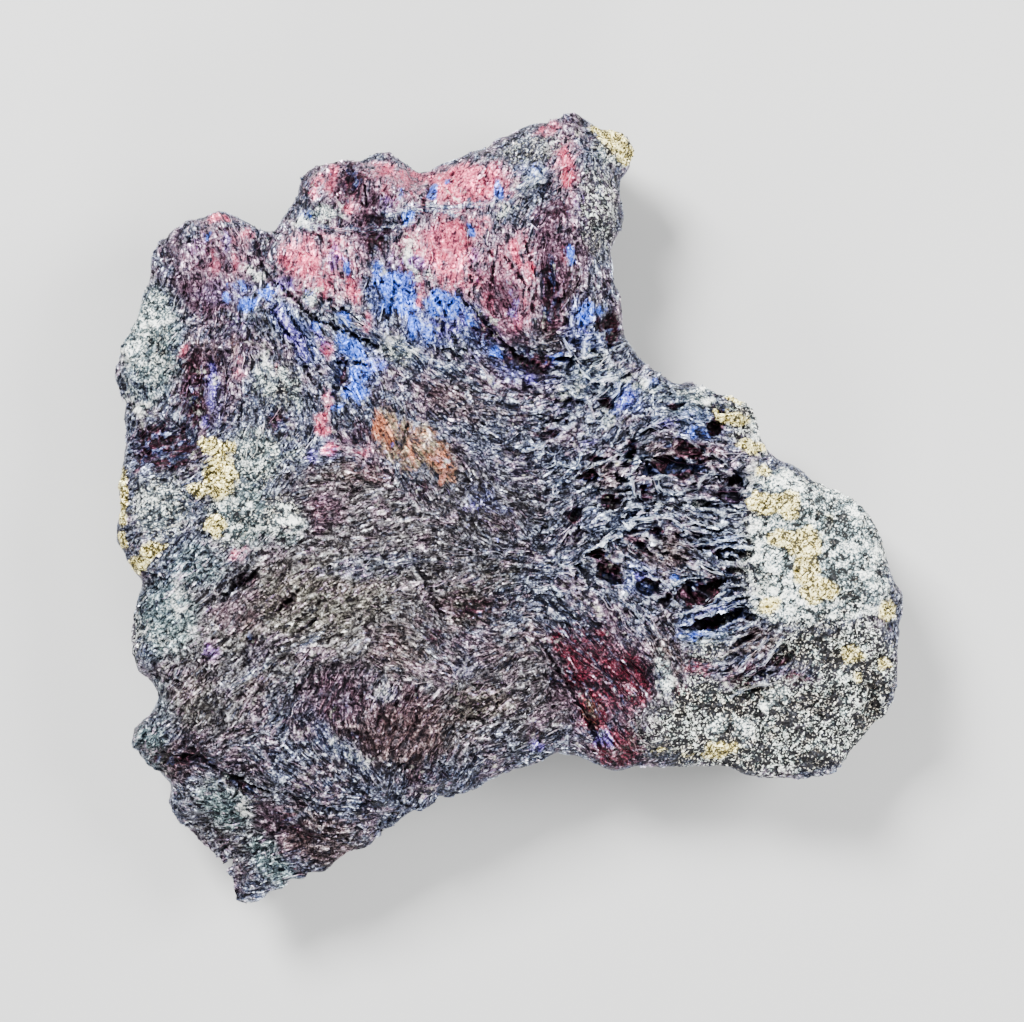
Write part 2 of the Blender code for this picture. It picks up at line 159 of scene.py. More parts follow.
bundles = [
    (-29, 22.5, 3.5, 95), (-25.5, 22.5, 3, 104), (-31.5, 17, 4, 50), (-32, 11, 4, 70), (-27.5, 11, 3.5, 88),
    (-23.5, 13, 3, 82), (-19.5, 14.5, 3, 122), (-16.5, 14, 2.5, 128), (-31, 5, 3.5, 20), (-24, 5, 3.5, 60),
    (-16, 29, 3, 72), (-11.5, 27.5, 3.5, 76), (-4, 28.5, 4, 70), (-18, 22, 3.5, 80),
    (-13.5, 20.5, 2.5, 100), (-6, 23.5, 3.5, 85), (0.5, 20, 3.5, 98), (4, 20, 2.5, 82), (3.5, 29, 3, 55),
    (8, 28, 4, 112), (8, 21, 3, 100), (-9.5, 18, 2.5, 72), (-5.5, 17, 2.5, 105), (-1.5, 15, 2.5, 140),
    (5, 12, 3.5, 10), (0, 9.5, 3.5, 172), (7, 9.5, 3, 40), (-8, 11.5, 3, 140), (-12.5, 12, 2.5, 110),
    (-9, 6, 3.5, 112), (-4, 6.5, 3, 150), (-1, 1, 4, 140), (3.5, 4, 3, 20), (11, 9.5, 3, 40),
    (16.5, 8.5, 3, -20), (10.5, 3.5, 3, 25), (15.5, 4, 3, -8), (19.5, 3, 3, 15), (6, -1.5, 3, 35),
    (12, -1.5, 3, 10), (18.5, -2.5, 3.5, -10), (10, -5, 3, -25), (16.5, -6.5, 3, -18), (19, -9.5, 3, 18),
    (12, -10, 3, 128), (5.5, -12, 3.5, 132), (8.5, -17.5, 3.5, 128), (13, -15.5, 3, 110),
    (22.5, -14, 3, 30), (21, -17.5, 2.5, -20), (-14, -2, 4.5, 15), (-19, -6.5, 4, 40), (-26, -8, 4, 48),
    (-24, -14.5, 4.5, 45), (-15, -9, 4, 22), (-8.5, -7, 3.5, 10), (-9, -12.5, 3.5, 150),
    (-4.5, -11, 3, 132), (-2, -7, 3, 20), (-15.5, -16, 3.5, 70), (-14.5, -21.5, 3, 130), (-8.5, -19, 4, 60),
    (-1, -15.5, 4, 35), (2, -19.5, 3.5, 20), (-28.5, -19, 3.5, 55), (-27.5, -23.5, 3, -20),
    (-20, -26, 4, -32), (-22.5, -31, 4, 20), (-15.5, -29.5, 3.5, 5), (28, -4, 4, 60), (31, -12, 4, 80),
    (26, -20, 4, 30), (17, -21, 3.5, 25),
]
grain = {
    "patch": 1.9,           # size of one bundle of folia
    "ragged": (0.75, 1.1),  # how far the borders between bundles wander, and over what length
    "waver": 16,            # how much a bundle turns by chance, in degrees
    "swirl": (14, 4),       # slow swirl, in degrees, and its length
}


def runAt(x, y):  # direction of the folia in radians, from the nearest bundles
    east, north = np.zeros(x.shape), np.zeros(x.shape)
    for px, py, reach, turn in bundles:
        weight = np.exp(-((x - px) ** 2 + (y - py) ** 2) / reach**2)
        weight += 1e-5 / (1 + (x - px) ** 2 + (y - py) ** 2)
        east += weight * math.cos(2 * math.radians(turn))
        north += weight * math.sin(2 * math.radians(turn))
    swirl, length = grain["swirl"]
    return np.arctan2(north, east) / 2 + math.radians(swirl) * noiseAt(x / length, y / length, 0 * x, 11)


def grainAt(x, y):  # along and across each bundle, its number and its direction
    midX, midY, _, number = cellsAt(*wander(x, y, 0 * x, *grain["ragged"], 21), grain["patch"], 5)
    turn = runAt(midX, midY) + math.radians(grain["waver"]) * (2 * ((number * 7.31) % 1) - 1)
    c, s = np.cos(turn), np.sin(turn)
    along = (x - midX) * c + (y - midY) * s
    across = (y - midY) * c - (x - midX) * s
    return along, across, number, turn


# Colours of tarnish and the other minerals, and the painted shade of the hollows, each a list of patches
# read off the face

tarnish = {
    "rose": [
        (-4.5, 29, 5.5, 2.4, 2, 0.62), (-17, 22, 4.5, 3.6, 0.55), (-6, 22.5, 5, 4.5, 0.6),
        (0.5, 20.2, 3.2, 5, 0.55), (-12.5, 28.5, 4, 3, 0.42), (-25.5, 22, 3, 4, 0.42), (5, 29, 1.5, 5, 0.4),
        (-3.6, 29.2, 4.6, 1.9, 2, 1), (-9, 29.4, 1.3, 1.8, 0.62), (-11.2, 30.4, 1.3, 1, 0.75),
        (-15.7, 29.4, 0.6, 1.7, -8, 0.9), (-17, 28.6, 0.7, 1.3, -8, 0.7), (-14.3, 26.6, 0.6, 0.6, 0.95),
        (-18.6, 22.2, 2.5, 2.1, 0.8), (-17.7, 21.9, 1, 1.1, 1), (-19.4, 22, 1.1, 0.8, 0.95),
        (-17, 24.6, 3, 1.3, 8, 0.5), (-15.1, 23.4, 0.5, 1.5, 0.85), (-16.6, 19.7, 0.7, 1.2, 10, 0.85),
        (-13.8, 19.8, 0.7, 1.7, 12, 0.7), (-12, 25, 1.6, 1.4, 0.42), (-5.7, 23.6, 2.5, 2.8, 0.9),
        (-4.8, 24.3, 1.2, 1.8, 1), (-5.6, 21.1, 1.3, 1.4, 0.9), (-2.3, 25.2, 1.1, 0.9, 0.65),
        (-0.8, 21.5, 2.4, 3.2, 0.5), (-0.1, 17.4, 1.7, 2.8, 0.5), (0.6, 22.6, 0.5, 1.8, 26, 1),
        (2, 21.3, 0.6, 1, 8, 0.95), (1.6, 19, 0.4, 1.2, 0.8), (-1.7, 18.3, 0.7, 1.4, 5, 0.85),
        (0.6, 16.6, 0.6, 1.4, 5, 0.8), (-2.6, 20.6, 0.5, 1.4, 0.7), (4.9, 22.5, 0.3, 1.2, 0.9),
        (3.6, 33.9, 1.5, 0.7, 15, 0.65), (5.2, 30.9, 0.8, 2, 10, 0.75), (5.3, 29.4, 0.7, 0.7, 1),
        (-16.6, 7.6, 0.8, 1.2, 0.9), (-15.8, 5.4, 0.8, 0.7, 0.95), (-16, 9.6, 0.5, 1.2, 10, 0.7),
        (-26, 26.1, 1.1, 0.5, -15, 0.95), (-23.2, 24.6, 0.8, 0.7, 0.6), (-26.3, 22, 0.5, 1.5, 8, 0.8),
        (-24.7, 22, 0.5, 1.1, 8, 0.75), (-29, 14.2, 0.5, 0.9, -20, 0.75), (-24.1, 12.6, 0.6, 1.5, 0.5),
        (-16.4, 14.4, 0.6, 1.2, 20, 0.75), (-28.2, 22.4, 1.6, 2.2, 0.35), (4.2, 25.5, 1.3, 2.4, 0.42),
        (-24.2, -4, 1.1, 0.7, 30, 0.5), (-26.3, -12.5, 0.9, 1.2, 0.4), (-19.8, -1.5, 0.6, 0.6, 0.4),
        (-12.6, 16.7, 0.5, 1, 0.6), (-13, 5.3, 1, 1.1, 0.5), (-7.9, 18.6, 0.35, 0.6, 0.8),
    ],
    "blue": [
        (-6.9, 28.2, 0.6, 0.85, 1), (-5.5, 29.3, 0.35, 0.4, 0.8), (-0.85, 28.5, 0.5, 1.1, 8, 1),
        (-8.9, 25.9, 0.6, 0.6, 0.95), (-3.45, 24.9, 0.4, 0.6, 0.95), (-9.6, 28.1, 0.4, 0.8, 0.55),
        (-18.1, 26.1, 0.8, 0.8, 0.6), (-9.9, 20, 2, 1.6, -10, 0.8), (-9.1, 18.5, 1.1, 1.5, 1),
        (-6.4, 18.5, 1, 1.4, -10, 1), (-10.9, 18.5, 0.7, 1.5, 0.8), (-8.5, 16.4, 0.8, 1.1, 10, 0.85),
        (-7, 15.8, 0.8, 1.2, 0.55), (-4.9, 18.2, 0.7, 1.5, -20, 0.75), (-3.4, 16.9, 0.4, 1.6, 35, 0.65),
        (-1.3, 14.1, 0.6, 0.8, 0.95), (-14, 14.5, 2, 0.95, -42, 1), (-14.6, 17.1, 0.8, 0.5, -30, 0.95),
        (-13.4, 12.2, 1.1, 0.8, 1), (-13.7, 10.4, 1.2, 1.05, 20, 1), (-15.3, 9.1, 0.6, 0.4, 30, 0.9),
        (-12, 12.9, 1.2, 0.8, 0.6), (-17.8, 19, 0.7, 0.8, 0.65), (-14.3, 21.5, 0.35, 1, 10, 0.85),
        (-11.7, 21, 0.6, 1.4, 0.65), (5.5, 22.8, 0.4, 1, 5, 0.95), (6.7, 17.3, 0.8, 1.3, -10, 0.75),
        (8.3, 17.9, 0.5, 0.4, 0.9), (3.9, 13.2, 1.1, 0.9, 30, 0.75), (-26.8, 24.3, 0.45, 0.6, 0.85),
        (-24.3, 20, 1, 0.6, 0.65), (-25.3, 18.7, 0.5, 0.7, 0.6), (-23.4, 18.3, 1, 0.6, 1),
        (-21.7, 19.3, 0.9, 0.8, 30, 0.75), (-17.1, 16.4, 0.8, 0.5, -35, 0.85), (-10.4, 5.8, 0.2, 0.3, 0.5),
        (17.2, 6.7, 1.3, 0.6, -12, 0.6), (12.8, 11.2, 1.1, 0.5, 0.5), (17, -11.2, 1.9, 0.45, 10, 0.7),
        (12.2, -6.5, 0.9, 0.6, 0.6), (15.1, -6.3, 0.4, 0.4, 0.8), (20, -3.7, 2.2, 0.5, 8, 0.45),
        (-25.9, -24.3, 1.1, 0.7, 10, 0.35), (2.2, 30.2, 0.7, 0.8, 0.5), (10.6, 9.8, 1.2, 0.9, 40, 0.5),
        (-22.9, -11.3, 0.6, 0.5, 0.35), (-12.5, -12, 1.2, 0.6, 20, 0.2), (-2.5, -2, 2.2, 0.7, -40, 0.3),
    ],
    "lilac": [
        (-15.4, 22.6, 0.8, 1.6, 0.6), (-11, 27, 1, 1, 0.5), (-2.8, 22, 0.6, 2, 5, 0.5),
        (-8.4, 21.9, 1.6, 0.7, -20, 0.6), (-20, 20.2, 1.2, 0.8, 0.6), (0.6, 18.4, 0.6, 2.4, 0.45),
        (6.4, 27, 0.7, 2, 0.4), (-6.6, 25, 0.8, 1, 0.4), (-0.4, 29.8, 0.8, 1.2, 0.4),
        (-19.3, 15.7, 2.6, 0.7, -58, 0.9), (-17, 15.7, 1.6, 0.5, -58, 0.8), (-20.5, 17.4, 0.6, 1, 20, 0.8),
        (-26.5, 11, 0.6, 2.6, 0.8), (-27.2, 8, 0.6, 0.8, 0.7), (-17.3, 4.7, 0.7, 0.7, 0.75),
        (2.1, 11.6, 0.7, 0.6, 0.9), (8.6, -20.5, 0.9, 0.8, 0.8), (2.4, -21.1, 0.7, 0.6, 0.7),
        (10.6, 9.8, 1.1, 0.7, 40, 0.9), (-6, 16.2, 2, 1.2, -10, 0.6), (-4.2, 17.4, 1.6, 0.8, -35, 0.6),
        (-12, 12.9, 1.3, 0.8, 0.7), (-28, 23.5, 1.5, 1.5, 0.35), (12, -6.2, 1, 0.7, -20, 0.7),
        (-25.2, 24, 0.4, 1.4, 10, 0.6), (14, 7.8, 1.4, 0.6, 10, 0.45), (18, -8.8, 2.6, 0.35, 22, 0.5),
        (-23.8, 16.6, 1.4, 0.8, 10, 0.4), (6.8, 16.8, 1.2, 1.6, 0.4), (5, 9.5, 1.4, 0.7, 30, 0.4),
        (-4, 0.5, 2.4, 1, -35, 0.35), (7.2, 5.8, 1.2, 0.8, 0.4), (-26.4, -12.6, 1, 1, 0.5),
        (1, 12.4, 2.4, 0.8, -20, 0.4),
    ],
    "bronze": [
        (-10.8, 7.4, 1.5, 1.9, 15, 0.85), (-10.7, 7.1, 0.7, 0.9, 10, 1), (-8.5, 4.9, 1.5, 1.8, 20, 0.85),
        (-6.3, 4.6, 1.5, 1.8, 20, 0.95), (-7.3, 7, 1, 0.9, -20, 0.85), (-9.5, 6, 3.2, 2.3, -35, 0.75),
        (-5.3, 3.2, 0.8, 1, 0.8), (-13, 16.2, 0.8, 0.35, -35, 0.6), (-24.3, 18.9, 0.8, 0.5, 0.5),
        (-14.2, 15.3, 0.9, 0.35, -20, 0.5), (-23.5, -9.8, 1.4, 1, 30, 0.35), (7.4, -18, 1, 1.8, 15, 0.5),
        (-24.5, 14.5, 0.6, 1.4, 0.4), (22, -12.3, 2, 0.7, 20, 0.3),
    ],
    "ember": [
        (-11.7, 7.4, 0.7, 1.7, 5, 0.95), (-10.7, 6.4, 0.4, 1.1, 10, 0.8), (-8.7, 5.4, 0.35, 1.4, 5, 0.7),
        (-5.7, 4.3, 0.8, 1.2, 20, 0.85), (-7, 4.4, 0.5, 0.9, 20, 0.6), (-6, 2.6, 0.5, 0.5, 0.7),
    ],
    "wine": [
        (5.1, -12.2, 1.9, 1.1, -50, 0.95), (6.2, -14.7, 1.2, 1.8, 20, 0.95),
        (7.5, -17.9, 1.4, 2.3, 15, 0.95), (11, -15.2, 1.8, 2.7, 20, 0.95), (9.9, -21.3, 2.5, 2.1, 0.8),
        (17, -14.2, 1.3, 1.1, 0.6), (15.6, -16.4, 0.9, 0.9, 0.6), (8.2, -11.1, 0.8, 0.6, 0.8),
        (8.5, -14.5, 5, 2.6, -55, 0.65), (29.4, -12.5, 0.7, 1.5, 0.55), (21.5, -16, 1.9, 2.3, 20, 0.5),
        (25.7, -15, 1.2, 0.5, 0.6), (17.4, -7.4, 2, 1, 20, 0.6), (11.2, -3.3, 2.1, 1.1, 0.4),
        (6, -0.5, 1, 0.8, 0.5), (12.3, 1.7, 0.8, 0.8, 0.5), (7, 3, 1.3, 0.6, 0.5),
        (16.7, 5.2, 2, 1.2, -10, 0.45), (4, 18, 0.9, 2.6, 0.55), (4.7, 27.4, 1, 1.4, 0.55),
        (11, 5.4, 0.8, 1.2, 0.4), (-26.6, 20.8, 0.5, 1.4, 8, 0.5), (-20.8, 12.8, 0.35, 0.8, 0.6),
        (-15, -17, 2.6, 2.4, 0.2), (-10, -19, 2.4, 2.6, 0.22), (-29, -22.3, 3.3, 0.9, 0.3),
        (-17, -0.2, 2.4, 1, 0.3), (-20, -28, 2.6, 0.9, -30, 0.14), (-28.4, 12, 0.6, 2.4, 0.45),
        (-3.5, -17, 2.5, 2.5, 0.1), (-12.2, 3.2, 2.6, 1, 0.25), (1, 10, 3.5, 1, 0.25),
    ],
    "hollowShade": [  # painted shade in the hollows: near black, tinted brown, plum and navy
        (-14, 29.4, 1.2, 1.6, -10, 0.85), (-17.9, 28.6, 0.9, 1.2, 0.6), (-11.6, 24.6, 1.3, 2.2, 0.85),
        (-12.3, 27.6, 1.6, 0.9, 0.6), (-28.2, 10.8, 1.4, 3.4, 0.75), (-31, 5.6, 3.6, 2.6, 10, 0.9),
        (-24.2, 15.8, 1.4, 1.6, 0.45), (3.6, 19, 1, 3.8, 0.85), (4.6, 26.6, 1.4, 1.8, 0.6),
        (9.3, 16.2, 0.8, 1.6, 1), (8.2, 16.6, 0.5, 0.9, 0.9), (2, 13.2, 3.4, 1.4, -15, 0.7),
        (-2.2, 15.8, 1.6, 1.3, -30, 0.7), (-15.1, 12.2, 0.6, 1.4, 0.95), (-15.5, 10.4, 0.5, 0.6, 0.9),
        (-20.6, 8, 1.3, 1.7, 0.7), (19.3, 9, 1.9, 0.4, -6, 1), (18.4, 7.4, 0.8, 0.9, 1),
        (20.6, 6.5, 1, 0.4, -8, 1), (14.7, 3.7, 2.3, 0.9, -8, 1), (16.3, 5.1, 1.9, 0.8, -22, 0.85),
        (10.8, 5.2, 0.9, 1.1, 0.8), (9.2, 0.7, 1.3, 0.7, 1), (5.9, -0.4, 0.9, 0.6, 0.95),
        (12.2, 1.7, 0.6, 0.8, 0.85), (19.5, 1.3, 1.3, 0.8, -15, 1), (20, 2.6, 1.3, 0.5, -10, 0.8),
        (9.1, -5.6, 1.4, 1, -25, 1), (7.9, -4.4, 0.9, 0.35, 0.9), (12.4, -6.9, 1.1, 0.8, -15, 1),
        (17.1, -7.5, 2.2, 1.2, 16, 1), (18.5, -10, 2.7, 0.7, 15, 1), (14, -8.2, 0.6, 0.6, 0.95),
        (21.6, -9.7, 0.9, 0.35, 5, 0.85), (13.2, -2.2, 1, 0.5, -40, 0.95), (11.6, -1.95, 0.9, 0.25, 0.9),
        (8, 4.5, 1.2, 0.35, 0.85), (7.3, 2.9, 1.4, 0.3, 4, 0.85), (21.1, -4.1, 0.8, 0.35, 0.9),
        (19.3, -3.8, 1.5, 0.35, 8, 0.85), (17.3, -3.4, 1.5, 0.35, -4, 0.75),
        (14.8, 9.3, 1.2, 0.25, -4, 0.9), (8.8, 9.5, 0.6, 0.6, 0.85), (15.6, -2.6, 1.1, 0.3, -25, 0.85),
        (2.9, 1.2, 0.7, 0.45, 0.7), (12.2, -3.4, 0.9, 0.35, -20, 0.8), (17, 0.4, 1.4, 0.5, 0.6),
        (20.2, -5.4, 1.6, 0.3, 0.75), (4.2, 8, 2.2, 0.3, -4, 0.75), (5.4, 9.6, 1.6, 0.3, -5, 0.7),
        (3.4, 6.8, 1.3, 0.4, 0.7), (24.6, -4, 0.6, 0.55, 0.95), (20.2, -4.4, 1.4, 0.5, 0.4),
        (24.8, -4.1, 0.55, 0.55, 1), (25.7, -5.6, 0.3, 0.3, 0.9), (23.1, -6.8, 0.7, 0.6, 0.75),
        (27.8, -9.4, 0.45, 0.6, 0.9), (30.6, -8.4, 0.9, 1, 0.75), (24.7, -13.1, 1.1, 1, 30, 0.95),
        (21.5, -16.2, 2, 2.3, 20, 0.7), (21.5, -17.9, 1.4, 1, 0.9), (32.8, -16.9, 0.55, 1.9, 8, 0.95),
        (29.4, -12.4, 0.7, 1.4, 0.6), (4, -15, 0.9, 1.6, 25, 0.7), (-23.7, -6.5, 1.7, 0.5, 35, 0.6),
        (-19.8, -8.4, 1, 0.35, 45, 0.55), (-17.5, -10, 0.9, 0.25, 40, 0.55), (-23, -11.4, 0.8, 0.5, 0.75),
        (-15.7, -16.7, 2.6, 2.4, 0.45), (-11, -19.5, 2.4, 2, 0.35), (-29, -22.4, 3.4, 0.7, 0.8),
        (-23.9, -24.8, 2.6, 0.7, -38, 0.85), (-19, -28.4, 3.2, 0.9, -30, 0.6), (-3, -8.8, 2, 0.9, 10, 0.75),
        (-6.7, -11.2, 1.8, 1, -50, 0.7), (-13.6, -20.2, 1.4, 0.6, -20, 0.7),
        (-19.5, -31.6, 2.6, 0.7, -50, 0.5), (-26.8, -29, 2.4, 0.5, -50, 0.5), (-33, 12.8, 0.6, 0.5, 0.4),
        (-29.5, 22, 2.4, 2.4, 0.4), (6.8, 24.6, 1.6, 2.8, 0.3), (-11, 1.2, 3, 1, 10, 0.35),
        (-7.6, 2.2, 1.3, 0.7, 0.6), (-13, 7, 1, 1.6, 0.45), (12, -20, 1, 1.6, 0.45), (3, 8, 4, 1.4, 0.35),
        (-8, -23.5, 4.5, 1.4, 25, 0.4), (1, -20.5, 2.2, 1.2, 10, 0.35),
    ],
    "pyrite": [
        (9.4, 33, 1.6, 0.9, -35, 1), (10.4, 31.9, 0.9, 0.9, 1), (8, 33.9, 1, 0.5, -15, 0.95),
        (19.8, 8.2, 1.7, 0.6, -8, 1), (21.6, 5.6, 1.3, 0.65, -10, 1), (20.2, 9.9, 1.3, 0.35, -10, 0.6),
        (22.8, 0.6, 1.5, 1.1, 10, 1), (24.9, 0.4, 1.1, 1.2, 1), (24.2, -2.5, 1.2, 0.8, 1),
        (26.3, -3, 1.5, 1.5, 1), (26.5, -5.2, 1.2, 1.3, 1), (27.7, -7.2, 1.7, 1.1, 1),
        (23.4, -8.3, 1, 0.5, 0.8), (34, -9, 1, 1.1, 0.7), (33.5, -13.7, 0.7, 0.8, 0.7),
        (30.6, -13, 1.1, 1, 0.62), (31.2, -14.9, 0.7, 0.6, 0.6), (19, -21.5, 1.7, 0.8, 10, 0.72),
        (13.4, -21.7, 0.8, 0.6, 0.55), (-26, 5.6, 1.8, 0.9, -8, 1), (-25.7, 2.9, 1.5, 1.9, 1),
        (-27.8, 1.8, 1, 0.8, 0.85), (-26.1, -1.4, 0.9, 1.1, 0.85), (-34.6, 1.2, 0.6, 2.6, 0.9),
        (-31.6, -3.6, 1.5, 0.8, 25, 0.75), (-33.4, -5, 1.4, 0.8, 20, 0.8), (-34.6, -2.7, 0.5, 1, 0.8),
        (22.9, -9, 0.7, 0.6, 0.5), (22.7, 3.4, 0.9, 0.6, 0.55), (28.6, -1, 0.9, 0.7, 0.45),
        (16.2, -22, 0.8, 0.5, 0.45),
    ],
    "chalk": [
        (20.6, 10, 1.8, 0.45, -25, 0.8), (22.3, 6.6, 0.5, 2, 20, 0.7), (18.6, 10.8, 1.8, 0.5, -8, 0.7),
        (8.6, 8.3, 0.7, 1.1, 0.5), (16.2, 0.6, 1.4, 0.5, 0.4), (27.5, -3.5, 6.2, 6.4, 0.95),
        (31.4, -2.7, 1.2, 1, 1), (24.5, 2, 3.2, 1.8, -25, 0.8), (29.4, -5.2, 1.2, 1, 1),
        (29, -7.2, 1.3, 1, 0.95), (24, -8.6, 2.4, 1.6, 0.85), (32.5, -6.5, 1.8, 3, 0.75),
        (-32.5, 15.5, 2.6, 4, 10, 0.55), (-31.6, 18.2, 1.6, 2.2, 0.7), (-33, 11, 2, 3, 0.4),
        (-22.5, 21.4, 1.2, 1, 0.5), (-7.2, 20.7, 2, 0.6, -25, 0.7), (-8.4, 23.6, 2, 1.6, 0.35),
        (-16.9, 25.9, 2.4, 1.2, 10, 0.68), (-9.8, 14.2, 1.9, 1.3, -20, 0.45),
        (-19.3, 10.7, 2.6, 0.8, -62, 0.72), (-21.8, 11.6, 1.4, 2.4, 0.5), (-22.6, 5.1, 1.6, 2, 0.55),
        (-19.1, 5.1, 1.2, 1.5, 0.5), (-23.7, 0, 2.4, 3, 0.5), (-19.7, -1.4, 1.5, 1.5, 0.5),
        (-31.4, 0.4, 2.2, 2.6, 0.4), (6, 11.3, 2.2, 1.2, 35, 0.35), (9.5, 12.2, 2, 1, -30, 0.3),
        (13.9, -14.8, 0.9, 2.1, 12, 0.72), (19.8, -19.5, 2.6, 1.4, 0.5), (24, -17, 1.8, 1.4, 0.5),
        (-23.7, -26.4, 1.5, 1.4, 0.25), (-14.5, -21.4, 3, 0.7, -42, 0.4), (-25.9, -24.3, 1.2, 0.8, 0.3),
        (-30.5, -9.7, 2.8, 3.4, 0.4), (-2.4, 30.8, 1.6, 0.6, 10, 0.4), (1.6, 29, 1.6, 1.2, 30, 0.5),
        (-17.6, 19, 1, 0.9, 0.6), (17, 10, 2.6, 0.8, -10, 0.5), (12.5, 10.5, 2.2, 1, -30, 0.45),
        (8.4, 31.5, 1.6, 0.9, 0.5), (-22, 24, 0.8, 0.6, 0.4), (-11, -16.5, 1, 0.8, 0.25),
        (0, 26.4, 1.8, 0.8, 20, 0.45), (-26.8, 8.6, 1, 1, 0.2), (7.6, 13.8, 1.2, 1.2, 0.5),
    ],
    "teal": [
        (-32, 14.8, 3.2, 5.4, 0.8), (-22.6, 4.6, 2.4, 3, 0.75), (-23.7, -0.5, 3.4, 3.6, 0.8),
        (-19.7, -1.2, 2.2, 2.2, 0.65), (-31, 0, 3, 3.2, 0.55), (-30.5, -9.7, 3.2, 4, 0.75),
        (-28, -5, 3.2, 2.6, 0.6), (-31.2, -17.6, 1.4, 3.2, 0.4), (27.5, -4, 6.6, 6.2, 0.5),
        (16.5, 9, 2.6, 2, 0.55), (17.6, -11.2, 2.6, 0.9, 5, 0.6), (19.8, -3.2, 3, 1.8, 0.45),
        (-32.6, 14.8, 2.6, 4.4, 0.4), (-20.5, 11, 2.2, 2.6, 0.4), (8, 11.5, 3.6, 2, 0.35),
        (-31.8, -22.6, 1.6, 1.4, 0.5), (21.5, 2.6, 1.6, 2, 0.4), (13.6, 10.5, 2.6, 1.2, -20, 0.4),
        (-25.5, -26.8, 3.4, 2, -40, 0.75), (-21.5, -31.5, 3.6, 1.6, -50, 0.75),
        (-32, -20.5, 2, 1.6, -30, 0.7), (-17, 25.8, 2, 1.2, 0.35), (-9.6, 14.4, 2, 1.4, 0.45),
    ],
    "salt": [  # sugary mixture of pale and dark grains
        (24, -19.5, 11.5, 4.2, 3, 0.95), (31, -14.5, 3.6, 5, 0.9), (27.5, -12.5, 4, 1.8, 0.75),
        (17.6, -18.2, 2.8, 3.4, 30, 0.85), (27.5, -4, 6.6, 7, 0.9), (18, -12.6, 2, 1.3, 0.5),
        (-32, 14.8, 2.6, 4.8, 0.38), (-22.5, 4.6, 2.6, 3, 0.45), (-24.5, -0.5, 3, 3.6, 0.45),
        (-31, 0, 3, 3.6, 0.45), (8, 27, 2, 5, 0.45), (2, 32, 3.6, 1.6, 20, 0.4), (21, 8.4, 1.8, 2.4, 0.6),
        (-34, -12, 1.4, 4, 0.4), (9.6, 32.6, 2, 2, 0.6), (-20.5, -0.5, 2.4, 2, 0.5),
        (-20.4, 11, 2.2, 2.4, 0.4), (-9.6, 14.2, 1.8, 1.2, 0.4),
    ],
}
